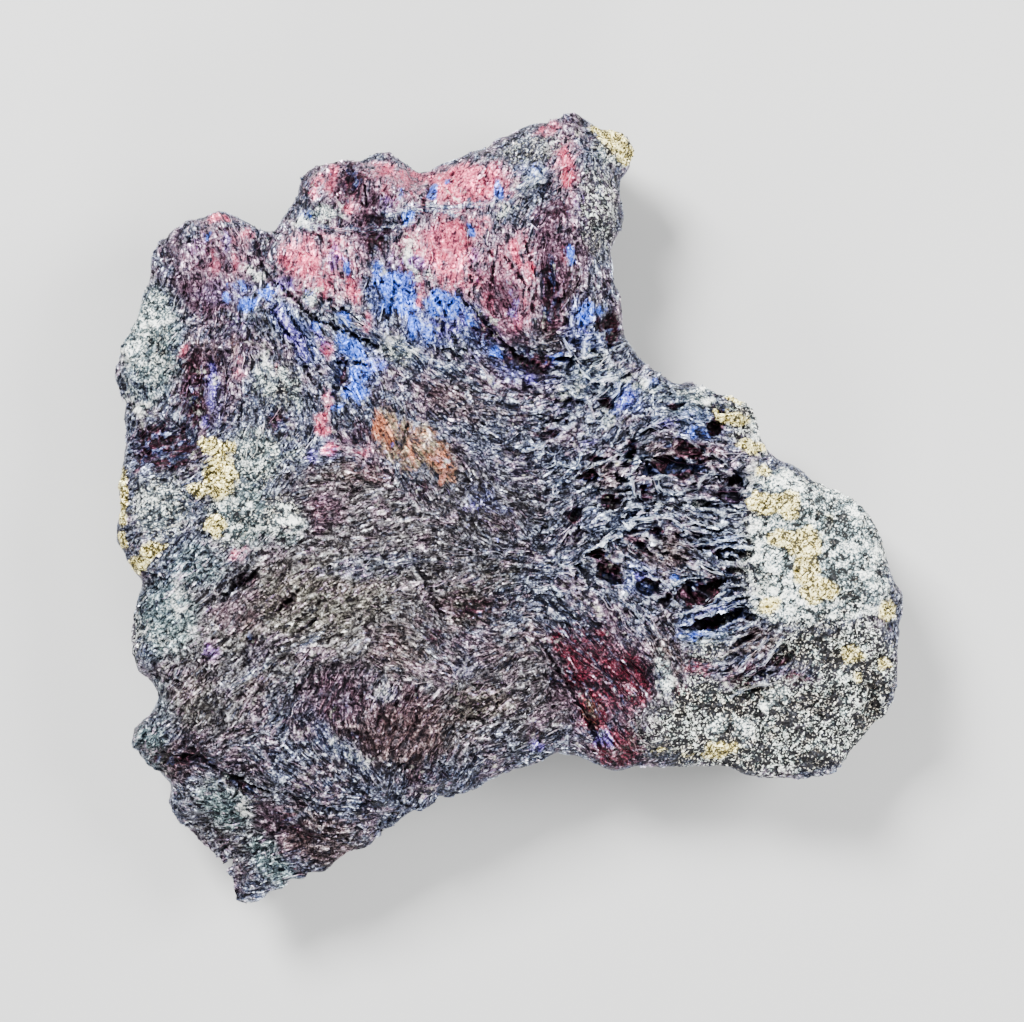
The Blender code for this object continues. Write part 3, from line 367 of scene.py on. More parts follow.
# Thin raised seams, painted with a highlight, and thin cracks, painted with shade: half width, strength,
# points

seams = [
    (0.38, 1, [(-10.9, 26.3), (-8.5, 26.8), (-5, 26.6), (-2, 27.2), (0, 27.6), (1.5, 28.8), (3, 30.2)]),
    (0.22, 0.8, [(-18.5, 25.2), (-14, 24.9), (-10.5, 24.9), (-8.4, 25.6)]),
    (0.2, 0.9, [(-16.6, 18.2), (-14.4, 16.8), (-12.6, 15.9), (-11.2, 14.9)]),
    (0.2, 0.9, [(-15.4, 18.6), (-13.2, 17), (-11, 15.3), (-10.4, 14.8)]),
    (0.28, 0.8, [(-10.5, 15), (-8.4, 14), (-7, 13.3), (-5.6, 12.4), (-4.2, 12.9), (-3, 13.2), (-1, 11)]),
    (0.16, 1, [(1.2, 5.2), (2.8, 5.6), (3.5, 6.1)]), (0.13, 0.9, [(3.6, 4), (5.9, 4)]),
    (0.16, 1, [(6.4, 5), (6.2, 3.9), (5.4, 3.3), (4.5, 2.7), (4.1, 2), (4.2, 1.2)]),
    (0.18, 1, [(6.8, 3.4), (7.8, 3.9), (8.6, 4.3), (10.2, 4.3)]),
    (0.15, 0.9, [(11.9, 4.7), (11.4, 3.8), (10.9, 3.1)]),
    (0.13, 0.9, [(11.2, 2.6), (11.2, 1.6), (11.5, 0.9)]),
    (0.18, 1, [(13.3, 2.8), (13.5, 1.9), (14, 1.5), (15, 1.5), (16.9, 1.9), (17.3, 2.6), (17.9, 3.1),
        (18.7, 3.2)]), (0.14, 0.9, [(15, 6.6), (16, 6.4), (17.4, 5.3), (18.6, 4.6), (19.6, 3.9)]),
    (0.14, 0.9, [(11.8, 6.9), (12.3, 7.2), (13.2, 7.8), (13.8, 8)]),
    (0.14, 0.9, [(9, 9.6), (9.8, 10.4), (10.1, 11.6)]),
    (0.15, 0.8, [(5, 11.2), (6.4, 10), (7.2, 9.4), (7.8, 8)]),
    (0.15, 0.8, [(12.9, 10.4), (12.8, 9), (12.9, 7.9)]),
    (0.16, 1, [(6.8, -3.9), (8, -3.4), (9.4, -2.7), (10.4, -2), (10.9, -1.4)]),
    (0.13, 1, [(8.2, -3), (9.4, -2.2), (10.2, -1.6)]),
    (0.13, 0.8, [(10.4, -2.9), (10.8, -3.6), (11.6, -4)]),
    (0.16, 0.9, [(11, -1), (13, -0.7), (14.6, -0.8), (15.4, -1.6), (16.4, -2.3)]),
    (0.14, 0.9, [(4.3, -4.8), (5.9, -5.3)]),
    (0.15, 1, [(12, -5), (13, -5.9), (13.8, -6.6), (14.4, -7.1), (14.9, -6.8)]),
    (0.13, 0.9, [(13, -8.2), (13.9, -7.6), (14.6, -7.2)]),
    (0.14, 0.9, [(15, -6.7), (16.2, -6.2), (17.8, -6.2)]),
    (0.14, 1, [(16.6, -8.9), (18, -8.2), (19.6, -7.3)]),
    (0.18, 0.9, [(15, -9.4), (17, -9), (18.6, -8.5), (20, -7.9), (21.2, -7.5), (22.2, -7.9)]),
    (0.16, 0.8, [(16.2, -9.9), (18.2, -9.3), (20, -8.7), (21.6, -8.6)]),
    (0.15, 0.9, [(14.8, -10.2), (16.2, -11), (17.6, -11.3), (19.4, -11.1), (20.4, -10.6), (21.8, -10.3)]),
    (0.13, 0.8, [(15.6, -11.6), (17.6, -12), (19.6, -11.8), (21.4, -11.2)]),
    (0.15, 0.9, [(16.9, -4.8), (18.2, -5.6), (19.6, -6)]),
    (0.13, 0.8, [(15.2, -2.9), (16.4, -3.3), (18.2, -3), (20.4, -2.5)]),
    (0.13, 0.8, [(15.2, -1.4), (16.6, -1.2), (18.4, -1.7), (19.8, -1.1)]),
    (0.13, 0.8, [(18.4, -3.6), (20.2, -3.3), (21.8, -3.6)]),
    (0.15, 1, [(10, -8), (10.9, -8.6), (11.6, -9.6), (12.2, -10.1)]),
    (0.14, 0.9, [(9.5, -8.8), (10.2, -9.7), (10.8, -10.3)]),
    (0.13, 0.8, [(6, -8.4), (7.6, -9.6), (9.4, -10.4)]),
    (0.13, 0.8, [(5, -9.4), (6.6, -10.9), (7.4, -11.8)]), (0.13, 0.8, [(2.4, -6.9), (4, -7), (5, -7.6)]),
    (0.22, 0.7, [(6, 32.9), (6.5, 32), (7.6, 31.7), (8.6, 31.8)]),
    (0.16, 0.9, [(4, -10.6), (7.2, -13), (9.4, -15.6), (10.2, -17.6)]),
    (0.14, 0.8, [(8, -11.4), (10.4, -14), (12.6, -17.4)]),
    (0.14, 0.8, [(10.2, -8.4), (11.6, -10), (12.6, -12)]),
    (0.14, 0.8, [(11.6, -8.4), (12.8, -10), (13.8, -11.6)]),
    (0.16, 0.8, [(5.2, -14.4), (7, -16.2), (8.2, -18.4)]),
    (0.16, 0.7, [(-7.2, -12.6), (-5.4, -13.4), (-4.6, -15)]),
    (0.2, 0.7, [(21.2, -15), (22.8, -13.8), (24.6, -11.6)]),
    (0.16, 0.7, [(20.2, -14.6), (22, -12.8), (23.2, -11.4)]),
    (0.16, 0.7, [(20, -16.8), (21.6, -16), (23.2, -15.6)]),
    (0.25, 0.7, [(4.8, 15.4), (6, 13), (7.4, 11.4), (9.4, 11.8), (11, 12.6)]),
    (0.18, 0.6, [(-14, -5.4), (-9, -4.4), (-4.8, -4.8)]),
    (0.2, 0.6, [(-24.8, -16), (-20.4, -13), (-16.4, -10.8)]),
]
cracks = [
    (0.13, 0.95, [(-20.6, 20.2), (-18.6, 18.2), (-17, 16.9), (-15.2, 16.2), (-13, 15.2), (-11.2, 14.2)]),
    (0.08, 0.7, [(-17.2, 19.6), (-14.8, 18), (-12.4, 16.2)]),
    (0.08, 0.8, [(-15.2, 13.2), (-13.8, 13.1), (-12.3, 12.9)]),
    (0.16, 0.9, [(-15.6, 11), (-14.6, 10.9), (-14, 10.7)]),
    (0.09, 0.6, [(-11.8, 20.3), (-10.2, 20.2), (-8.6, 19.2)]),
    (0.08, 0.6, [(-10, 19.8), (-10.4, 18.4), (-10.9, 17)]),
    (0.08, 0.6, [(-7, 19.6), (-6.4, 18.8), (-6, 18.4)]),
    (0.12, 0.8, [(-5, 18.6), (-5.6, 17.6), (-5.9, 16)]),
    (0.13, 0.8, [(-3.6, 18.4), (-2, 16.8), (-1.4, 15.4)]),
    (0.11, 0.7, [(-0.2, 22.4), (1.2, 20.4), (2, 19.4)]),
    (0.12, 0.8, [(-4.6, 19.3), (-2.6, 17.2), (-0.7, 15.2), (1, 13.6), (2.6, 12.8)]),
    (0.1, 0.6, [(-9, 7.6), (-9.2, 6.2), (-9.6, 5.2)]), (0.1, 0.6, [(-12.6, 27), (-12.9, 29), (-13, 30.4)]),
    (0.09, 0.6, [(-15.2, 27.6), (-15, 30)]), (0.09, 0.6, [(-5.2, 27.6), (-5, 30.2)]),
    (0.09, 0.5, [(-2.2, 27.8), (-2, 30.4)]), (0.09, 0.6, [(-1.6, 24.6), (-1.4, 21), (-1.7, 18)]),
    (0.09, 0.6, [(1.4, 24), (2.6, 20.4), (2.2, 17.4)]), (0.1, 0.6, [(-3.7, 24), (-3.4, 21.6), (-3.5, 19)]),
    (0.14, 0.7, [(-7.6, 26.8), (-7.4, 27.8), (-7, 29.4), (-6.8, 30.2)]),
    (0.14, 0.8, [(-25.6, -7.8), (-23.8, -6.6), (-22.4, -5.4)]),
    (0.12, 0.8, [(-20.8, -9.2), (-19.6, -8.2), (-18.8, -7.2)]),
    (0.12, 0.8, [(-18.6, -10.8), (-17.4, -10), (-16.8, -9.4)]),
    (0.16, 0.8, [(-31, -22), (-27.6, -22.4), (-25, -24), (-21.6, -25.2)]),
    (0.14, 0.8, [(3.4, -12.6), (4.8, -15), (6.8, -18.4), (8, -20.6)]),
    (0.2, 0.7, [(-8.4, -4.2), (-7, -7.4), (-5.6, -10.2)]),
    (0.14, 0.7, [(-21, 17.8), (-19, 14.2), (-17.6, 11.6)]),
    (0.12, 0.6, [(-19.6, 17.6), (-18, 14.8), (-17, 12.4)]),
    (0.16, 0.7, [(-22.6, 24.4), (-22.2, 22), (-21, 20.2)]),
    (0.16, 0.7, [(15.6, -10.6), (18.2, -10.4), (20.6, -9.4)]),
]
# How the surface is built, tints of the grey itself, a pale frost that is partly painted glint, and patches
# of painted shade

zones = {
    "strands": [  # fine threads
        (-26.5, 21.5, 5, 4.5, 1), (-26.5, 11.5, 3.2, 6, 1), (-18.5, 15.2, 4, 2.6, -58, 1),
        (8.5, -14.5, 6, 4.5, -50, 0.9), (-5, 16.5, 5, 2.4, -35, 0.8), (-1, 19.5, 3.6, 6, 0.7),
        (-14.5, 28, 4, 3, 0.7), (5, 26, 2.6, 6, 0.8), (-21.5, 13, 2.4, 4, 10, 0.7),
        (-6.5, 4, 4.5, 2, -35, 0.7), (-2, 2, 5, 2.6, -38, 0.8), (-12, -5, 6, 2.4, 8, 0.6),
        (0, -13, 4, 4, 0.6), (-14.5, -21.5, 4, 1.6, -42, 0.8),
    ],
    "wavy": [  # wavy folds round hollows
        (14, 1, 8.5, 7.5, 1), (19.5, -6.5, 5, 5, 1), (6.5, 12, 5.5, 4.5, 0.8), (8, -3.5, 5, 4.5, 0.8),
        (22, -14, 3.5, 4, 0.9), (1.5, 5, 3.5, 3, 0.5), (7, 18, 3, 4, 0.6), (13, -9, 3, 2.5, 0.6),
    ],
    "slick": [  # smooth faces
        (-13.5, 12.5, 2.8, 4, 20, 1), (-8.5, 17.5, 4, 3, 0.9), (-8.5, 5.5, 4, 3, -35, 0.9),
        (-5, 24, 3.5, 4, 0.8), (-18.5, 22, 3, 2.5, 0.8), (-3.5, 29.2, 5, 2.2, 0.8), (0, 20, 3, 5, 0.6),
        (9, -15.5, 4, 5, 20, 0.8),
    ],
}
shades = {
    "olive": [
        (-17, -8, 9, 4.5, 12, 0.75), (-24.5, -10.5, 3, 3, 0.6), (-3.5, -8.6, 3, 2, 0.9),
        (-2.5, -17.5, 3.4, 2.2, 0.7), (-1, -6, 3, 1.6, 30, 0.6), (-22, -15, 4, 2, 40, 0.5),
        (-28, -17, 2.4, 3, 0.6), (4.6, 27, 1.6, 3, 0.5), (13.5, -13.2, 1.6, 1.6, 0.6),
    ],
    "slate": [
        (-3.6, 16.6, 4.6, 1.9, -42, 1), (-11.5, 18.5, 1.8, 2.4, 0.9), (-7, 16, 2.4, 1.6, 0.9),
        (-0.6, 13.6, 2, 1, -30, 0.9), (-19, 15.8, 3.4, 1.5, -57, 0.95), (-25, 19.4, 3.2, 1.3, 0.7),
        (6.6, 16.2, 2.2, 2.6, 0.8), (1.5, 12, 3.2, 1.2, -20, 0.7), (-26.5, 10, 1, 3.6, 0.7),
        (12, -6, 2.6, 1.2, -20, 0.7), (10.6, 9.8, 2.2, 1.4, 40, 0.9), (-10.5, 22, 1.3, 1.8, 0.5),
        (18, -10, 3.8, 1.6, 15, 0.8), (17.5, 7.4, 3.2, 2, 0.6), (-17.6, 25.8, 1.6, 1, 0.6),
        (-2, 1, 3.2, 1.5, -35, 0.55), (-13.8, 13, 2.6, 3, 20, 0.7), (19.5, -3.5, 3.4, 1.6, 0.6),
        (-16, 5, 1.8, 1.6, 0.5), (1.8, 30, 1.6, 1.2, 30, 0.6),
    ],
    "brown": [
        (-16.5, -29.5, 4.2, 3, -30, 0.8), (-30, -22.5, 3, 2, 0.6), (-10, -20.5, 8, 3.6, 20, 0.7),
        (4, 18, 2.4, 6, 0.7), (-27.5, 12.5, 2.6, 4.6, 0.5), (-4, 9.5, 5, 1.8, -25, 0.6),
        (14, -3.4, 4, 1.6, -10, 0.7), (8, 3, 2.6, 1.6, 0.6), (15.5, 5, 4, 1.4, 0.6),
        (22, -12, 3, 1.2, 20, 0.8), (14.5, -13, 1.8, 3.4, 10, 0.7), (-9.5, -12.5, 3, 3, 0.6),
        (-14, 3, 4, 1.6, 0.6), (1, -11, 3, 3, 0.5), (-28, -8, 3, 3, 0.35),
    ],
    # painted shade: darker patches across the centre and towards the bottom, where the face gets less light
    "paintedShade": [
        (-1, -1, 7, 7, 1), (-13, -4, 10, 6, 0.2), (8, -14, 6, 5, -40, 0.9), (-17, -29, 6, 4, -30, 0.9),
        (-23, -29, 4, 3, -50, 0.5), (-8, -22, 11, 4, 22, 0.8), (-27, -22, 5, 4, 0.8),
        (-16, -17.5, 7, 4, 0.6), (0, -17, 6, 4.5, 0.7), (9, -17, 5, 6, 0.5), (1, 12.5, 6, 2, -15, 0.5),
        (-6, 10.5, 5, 1.8, -30, 0.4),
    ],
    "striae": [
        (-0.4, 18.5, 2.8, 4.5, 0.9), (4, 22.5, 1.8, 7.5, 1), (-12.4, 25.5, 1.8, 4.5, 0.95),
        (-14.6, 28.5, 1.6, 2.5, 0.7), (-26.5, 20.5, 2.8, 4.5, 0.8), (-9.6, 28.5, 1.2, 2.4, 0.4),
        (-16.5, 21, 0.9, 4, 0.5), (-27.5, 11, 2.5, 4.5, 0.7), (-22.4, 23.4, 1.2, 2.4, 0.7),
    ],
    "warm": [
        (-14, -7, 13, 10, 15, 0.95), (-6, -17, 10, 6, 20, 0.8), (-26, -14, 6, 9, 0.8),
        (-24, -28, 6, 5, -40, 0.7), (-3, 1, 7, 5, 0.7), (-14, 1, 6, 3, 0.9), (2, -16, 5, 5, 0.8),
        (14, -19, 4, 3, 0.6),
    ],
    "plum": [
        (-26.5, 21.5, 5, 4.5, 0.95), (-26.5, 12.5, 3.5, 6, 0.8), (-13.5, 27, 4, 5, 0.85),
        (-1, 19.5, 4.5, 6.5, 0.9), (5, 23, 2.5, 8, 0.85), (-15.5, -17, 4, 4, 0.8),
        (-9.5, -19, 4.5, 3.5, 20, 0.85), (-29, -22, 3.5, 2, 0.7), (8, -15, 6, 6, -50, 0.8),
        (1, 12, 5, 2.2, -15, 0.8), (-17, 0, 4, 2, 0.8), (17.5, 4, 5, 3.5, 0.5), (24, -14, 4.5, 3, 0.5),
        (-3.5, -8.5, 3.5, 2.5, 0.6), (-21, -29, 4, 3, -30, 0.8), (-24, -9, 3, 2, 35, 0.7),
        (-7, 10, 4, 2, -30, 0.6), (-13, 5.5, 2, 2.5, 0.8), (-3, -12.5, 2.5, 3, 0.6),
        (-19.5, 12.5, 1.6, 3, 10, 0.6),
    ],
    # pale frost, partly a painted glint where the face catches the lamps
    "frostAndGlint": [
        (-7.2, 20.8, 2.4, 0.8, -25, 1.1), (-9.8, 25.2, 2, 1.8, 0.8), (-17, 25.6, 2.6, 1, 8, 0.8),
        (8.4, 9, 1.4, 2.4, 20, 0.8), (-8, 22.8, 1.6, 1.2, 0.7), (6.5, 11.5, 5.5, 2.6, 10, 0.8),
        (14.5, 9, 5, 1.8, -20, 0.7), (10, -1.5, 5, 2, -10, 0.8), (-14.5, -21.5, 4.2, 1.4, -42, 1),
        (-9, 14.3, 3.4, 1.4, -25, 0.8), (-12.5, -5, 5.5, 1.6, 8, 0.7), (-1, 4, 4.5, 2, -35, 0.7),
        (3, 4.5, 3, 1.5, 10, 0.7), (18, -8.7, 3.6, 0.7, 25, 0.9), (5, -5, 3, 1.6, 40, 0.6),
        (4.5, 30.5, 3, 2, 40, 0.6), (-23.5, -14, 5, 1.4, 45, 0.5), (-10.7, -16.5, 1.4, 1, 0.8),
        (-3.5, -14, 1.6, 1.2, 0.7), (-24, -26.5, 1.6, 1.2, 0.7), (-18, 15.5, 3, 1.2, -60, 0.8),
        (-22, -31.5, 1.6, 1, 0.6), (19, 0, 3.5, 1, 0.6),
    ],
}


# Body: the slab's own surface, cut fine and given its crinkled folds

body = {  # in millimetres, where not said otherwise
    "voxel": 0.56,        # grid of the remeshed slab
    "cutTilt": 0.25,      # faces that look up more than this are cut twice as fine
    "faceTilt": (0.15, 0.55),     # how far up a normal looks where the rim turns into the face
    "backTilt": (0.35, 0.75),     # and how far down where it turns into the back
    "colourWander": (0.45, 0.9),  # how far the borders of colours wander, and over what length
    "zoneWander": (1.2, 2.0),
    "crackWander": (0.2, 0.5),
    "backWander": (0.4, 1.0),
    "seamShade": (0.16, -0.26),   # the groove beside each seam, cut and painted as its shadow, lies this far from it, on the side away from the key lamp
    "fineLens": (1.2, 0.50),      # length and width of the plates of a bundle
    "wideLens": (4.0, 1.7),       # of the wavy hollows
    "slickLens": (2.2, 0.60),     # and of the smooth plates
    "grainSize": 0.62,    # grains of the sugary parts
    "backSize": 1.6,      # lumps of the back
    "plate": 0.22,        # steps between the plates of each bundle
    "wave": 0.55,         # height of the wavy rims between hollows
    "fold": 0.16,         # height of the longer folds
    "crinkle": 0.11,      # height of the crinkles on them
    "step": 0.16,         # steps between bundles
    "lump": 0.26,         # grains in the sugary parts
    "crack": 0.55,        # depth of the cracks
    "seam": 0.22,         # height of the seams
    "hollow": 0.60,       # depth of the hollows, which are also painted dark with shade
    "ledge": 0.30,        # laminations on the rim
    "ledgeRise": 0.85,    # and how far apart they are
    "back": 0.22,         # lumps on the back
    "nearRounds": 2,      # rounds of blur that find narrow gaps and edges
    "farRounds": 30,      # and broad ones
}
faceOnly = ("rose", "blue", "lilac", "bronze", "ember", "seam", "wavy", "slate", "striae", "olive")
faceMost = ("hollowShade", "wine", "plum", "frostAndGlint")  # these run on over the rim, but faintly


def readVectors(items, name, count):
    flat = np.empty(count * 3)
    items.foreach_get(name, flat)
    return flat.reshape(-1, 3)


def readPoints(mesh):
    return readVectors(mesh.vertices, "co", len(mesh.vertices))


def writePoints(mesh, points):  # nothing may stand past the slab's own box
    mesh.vertices.foreach_set("co", np.clip(points, *np.array(cadBox)).ravel())
    mesh.update()


def readField(mesh, name):
    values = np.empty(len(mesh.vertices), dtype=np.float32)
    mesh.attributes[name].data.foreach_get("value", values)
    return values


def storeFields(mesh, fields):
    for name, values in fields.items():
        attribute = mesh.attributes.get(name) or mesh.attributes.new(name, "FLOAT", "POINT")
        attribute.data.foreach_set("value", np.asarray(values, dtype=np.float32))


def storeVector(mesh, name, vectors):
    attribute = mesh.attributes.new(name, "FLOAT_VECTOR", "POINT")
    attribute.data.foreach_set("vector", vectors.astype(np.float32).ravel())


def addObject(name, data):
    made = bpy.data.objects.new(name, data)
    bpy.context.scene.collection.objects.link(made)
    return made


def baked(piece):  # modifiers turned into plain mesh
    graph = bpy.context.evaluated_depsgraph_get()
    mesh = bpy.data.meshes.new_from_object(piece.evaluated_get(graph))
    piece.modifiers.clear()
    piece.data = mesh
    return mesh


def reworked(mesh, work):  # the mesh takes what is in the bmesh, which ends here
    work.to_mesh(mesh)
    work.free()
    return mesh


def opened(mesh):
    work = bmesh.new()
    work.from_mesh(mesh)
    return work


def makeBody():
    mesh = frame["nodes"]["covellite"].data.copy()  # the node's loose triangles, merged
    work = opened(mesh)
    bmesh.ops.remove_doubles(work, verts=work.verts, dist=0.001 * mm)
    reworked(mesh, work).materials.clear()
    piece = addObject("covellite_body", mesh)
    remesh = piece.modifiers.new("even grid", "REMESH")
    remesh.mode = "VOXEL"
    remesh.voxel_size = body["voxel"] * mm
    work = opened(baked(piece))
    work.normal_update()
    edges = {edge for face in work.faces if face.normal.z > body["cutTilt"] for edge in face.edges}
    bmesh.ops.subdivide_edges(work, edges=list(edges), cuts=1, use_grid_fill=True, smooth=0.0)
    bmesh.ops.triangulate(work, faces=work.faces)
    reworked(piece.data, work)
    print("body cut:", len(piece.data.polygons), "faces")
    return piece


def lensesAt(u, v, size, seed):  # long leaning plates: level, how near the border, number
    u, v = u / size[0], v / size[1]
    midU, midV, border, number = cellsAt(u, v, 1.0, seed)
    leanU, leanV = (number * 13.7) % 1 - 0.5, (number * 29.3) % 1 - 0.5
    level = 0.8 * (number - 0.5) + 0.9 * leanU * (u - midU) + 1.3 * leanV * (v - midV)
    return level, border, number


def fieldsAt(x, y, z):  # every tint and zone at some points of the face
    places = wander(x, y, z, *body["colourWander"], 31)
    found = {name: patches(*places, items) for name, items in tarnish.items()}
    found["seam"] = lines(*places, seams)
    places = wander(x, y, z, *body["zoneWander"], 33)
    return found | {name: patches(*places, items) for name, items in (zones | shades).items()}


def blurred(mesh, values, rounds):  # mean of the neighbours, over and over
    pairs = np.empty(len(mesh.edges) * 2, dtype=np.int64)
    mesh.edges.foreach_get("vertices", pairs)
    first, second = pairs.reshape(-1, 2).T
    count = np.bincount(pairs, minlength=len(values))
    for _ in range(rounds):
        total = np.bincount(first, values[second], len(values))
        total += np.bincount(second, values[first], len(values))
        values = 0.5 * values + 0.5 * total / count
    return values


def faceRelief(x, y, z, bundle, found, grooveShadow, crack):  # height of the face, and numbers of its plates
    along, across, number, _ = bundle
    u = along + number * 37
    v = across + 0.30 * noiseAt(along / 0.8, across / 0.8, number * 9, 37) + number * 53
    fine, _, fineNumber = lensesAt(u, v, body["fineLens"], 51)
    wide, wideBorder, wideNumber = lensesAt(u, v, body["wideLens"], 52)
    slick, _, slickNumber = lensesAt(u, v, body["slickLens"], 53)
    crest = np.exp(-((wideBorder / 0.12) ** 2))
    pit = ease(0.14, 0.34, wideBorder) * ease(0.60, 0.76, wideNumber) * found["wavy"]
    fold = 1 - np.abs(noiseAt(along / 2.0, across / 0.8, z / 1.2 + number * 40, 41)) * 2
    crinkle = noiseAt(along / 0.6, across / 0.4, z / 0.5 + number * 70, 42)
    _, _, edge, grainNumber = cellsAt(x + 0.3 * crinkle, y + 0.3 * fold, body["grainSize"], 43)
    lump = 0.9 * noiseAt(x / 0.55, y / 0.55, z / 0.55, 54) + 0.9 * grainNumber
    lump -= 0.5 * (1 - ease(0.0, 0.3, edge))

    sugar = np.clip(found["salt"] + 0.6 * found["pyrite"], 0, 1)
    wavy = found["wavy"] * (1 - sugar)
    calm = np.clip(found["slick"], 0, 1) * (1 - wavy)
    rest = (1 - wavy) * (1 - calm) * (1 - sugar)
    height = body["plate"] * fine * (rest + 0.4 * wavy) + 0.7 * body["plate"] * slick * calm
    height += body["wave"] * (crest - 0.45 + 0.5 * wide - pit) * wavy
    height += body["fold"] * fold * (1 - 0.6 * sugar) * (1 - 0.6 * calm)
    height += body["crinkle"] * crinkle * (1 - 0.4 * sugar) * (1 - 0.5 * calm) * (1 - 0.6 * pit)
    height += body["step"] * (2 * number - 1) * (1 - sugar) * (1 - 0.5 * calm)
    height += body["lump"] * lump * sugar
    height += body["seam"] * (found["seam"] - 1.4 * grooveShadow) - body["crack"] * crack
    height -= body["hollow"] * ease(0.35, 1.0, found["hollowShade"]) * (0.5 + 0.8 * wavy)
    lens = np.where(wavy > 0.5, wideNumber, np.where(calm > 0.5, slickNumber, fineNumber))
    return height, pit, crest * wavy, lens


def rimRelief(x, y, z):  # laminations that wander a little, and which of them each point is in
    layer = z / body["ledgeRise"] + 0.7 * noiseAt(x / 3, y / 3, z / 3, 44)
    ledge = (layer % 1) - 0.5 + 0.8 * noiseAt(x / 1.3, y / 1.3, z / 0.35, 45)
    return body["ledge"] * ledge, layer // 1 * 0.37 % 1


def backRelief(x, y, z):
    _, _, edge, number = cellsAt(*wander(x, y, z, *body["backWander"], 46), body["backSize"], 48)
    lumps = noiseAt(x / 1.1, y / 1.1, z, 49) + number - 0.5 - 0.7 * (1 - ease(0, 0.2, edge))
    return body["back"] * lumps, number


def reliefBody(piece):
    mesh = piece.data
    points = readPoints(mesh) / mm
    normals = readVectors(mesh.vertex_normals, "vector", len(mesh.vertices))
    x, y, z = points.T
    up = ease(*body["faceTilt"], normals[:, 2])
    down = ease(*body["backTilt"], -normals[:, 2])
    rim = (1 - up) * (1 - down)
    bundle = grainAt(x, y)
    along, across, number, turn = bundle
    found = fieldsAt(x, y, z)
    found |= {name: found[name] * up for name in faceOnly}
    found |= {name: found[name] * (0.35 + 0.65 * up) for name in faceMost}
    crack = lines(*wander(x, y, 0 * x, *body["crackWander"], 35), cracks) * up
    shadeX, shadeY = body["seamShade"]
    grooveShadow = lines(x - shadeX, y - shadeY, seams) * up * np.clip(found["wavy"] + found["wine"], 0, 1)

    height, found["pit"], found["crest"], lens = faceRelief(x, y, z, bundle, found, grooveShadow, crack)
    ledge, layerNumber = rimRelief(x, y, z)
    lumps, backNumber = backRelief(x, y, z)
    height *= up
    height += ledge * rim
    height += lumps * down
    writePoints(mesh, (points + normals * height[:, None]) * mm)

    near, far = blurred(mesh, height, body["nearRounds"]), blurred(mesh, height, body["farRounds"])
    # gap is painted shade, darker in narrow and broad hollows, in cracks and in the groove shadow beside
    # each seam
    gap = ease(0.02, 0.13, near - height) * 0.75 + ease(0.05, 0.6, far - height) * 0.4
    storeFields(mesh, found | {
        "gap": gap + 0.8 * crack + 0.7 * grooveShadow * (1 - found["seam"]),
        # edge is a painted highlight on ridges
        "edge": ease(0.015, 0.11, height - near) * 0.8 + ease(0.1, 0.5, height - far) * 0.4,
        "tone": lens * up + rim * layerNumber + down * backNumber,
        "calm": np.clip(1.3 * np.maximum.reduce([found[name] for name in ("rose", "blue", "bronze")]), 0, 1),
        "up": up,
    })
    storeVector(mesh, "grain", np.stack([along, across + rim * z * 2, z * (1 - rim) + number * 60], axis=1))
    flow = np.stack([np.cos(turn), np.sin(turn), 0 * turn], axis=1)
    level = np.stack([-normals[:, 1], normals[:, 0], 0 * turn], axis=1)
    flow = flow * (1 - rim)[:, None] + level * rim[:, None]
    flow -= normals * (flow * normals).sum(axis=1)[:, None]
    storeVector(mesh, "flow", flow)
    print("relief done")
    return piece


# Shader maths: one wrapped socket, so that masks are written as sums

def addNode(tree, kind, settings=None, sockets=None):
    node = tree.nodes.new(kind)
    for name, value in (settings or {}).items():
        setattr(node, name, value)
    for name, value in (sockets or {}).items():
        if isinstance(value, bpy.types.NodeSocket):
            tree.links.new(value, node.inputs[name])
        else:
            node.inputs[name].default_value = value
    return node


class Wire:
    def __init__(self, tree, socket=None):
        self.tree = tree
        self.socket = socket

    def make(self, kind, settings=None, sockets=None, output=0):
        plain = {n: v.socket if isinstance(v, Wire) else v for n, v in (sockets or {}).items()}
        return Wire(self.tree, addNode(self.tree, kind, settings, plain).outputs[output])

    def math(self, operation, first, second):
        return self.make("ShaderNodeMath", {"operation": operation}, {0: first, 1: second})

    def vector(self, operation, first, second):
        return self.make("ShaderNodeVectorMath", {"operation": operation}, {0: first, 1: second})

    def __add__(self, other):
        return self.math("ADD", self, other)

    def __sub__(self, other):
        return self.math("SUBTRACT", self, other)

    def __rsub__(self, other):
        return self.math("SUBTRACT", other, self)

    def __mul__(self, other):
        return self.math("MULTIPLY", self, other)

    __radd__ = __add__
    __rmul__ = __mul__

    def between(self, low, high):
        sockets = {"Value": self, "From Min": low, "From Max": high}
        return self.make("ShaderNodeMapRange", {"interpolation_type": "SMOOTHSTEP"}, sockets)

    def field(self, name, output="Fac"):
        return self.make("ShaderNodeAttribute", {"attribute_name": name}, output=output)

    def mix(self, mask, first, second):
        settings = {"data_type": "RGBA", "clamp_factor": True}
        return self.make("ShaderNodeMix", settings, {"Factor": mask, 6: first, 7: second}, output=2)

    def noise(self, vector, scale, detail, roughness):
        sockets = {"Vector": vector, "Scale": scale, "Detail": detail, "Roughness": roughness}
        return self.make("ShaderNodeTexNoise", None, sockets, output="Fac")


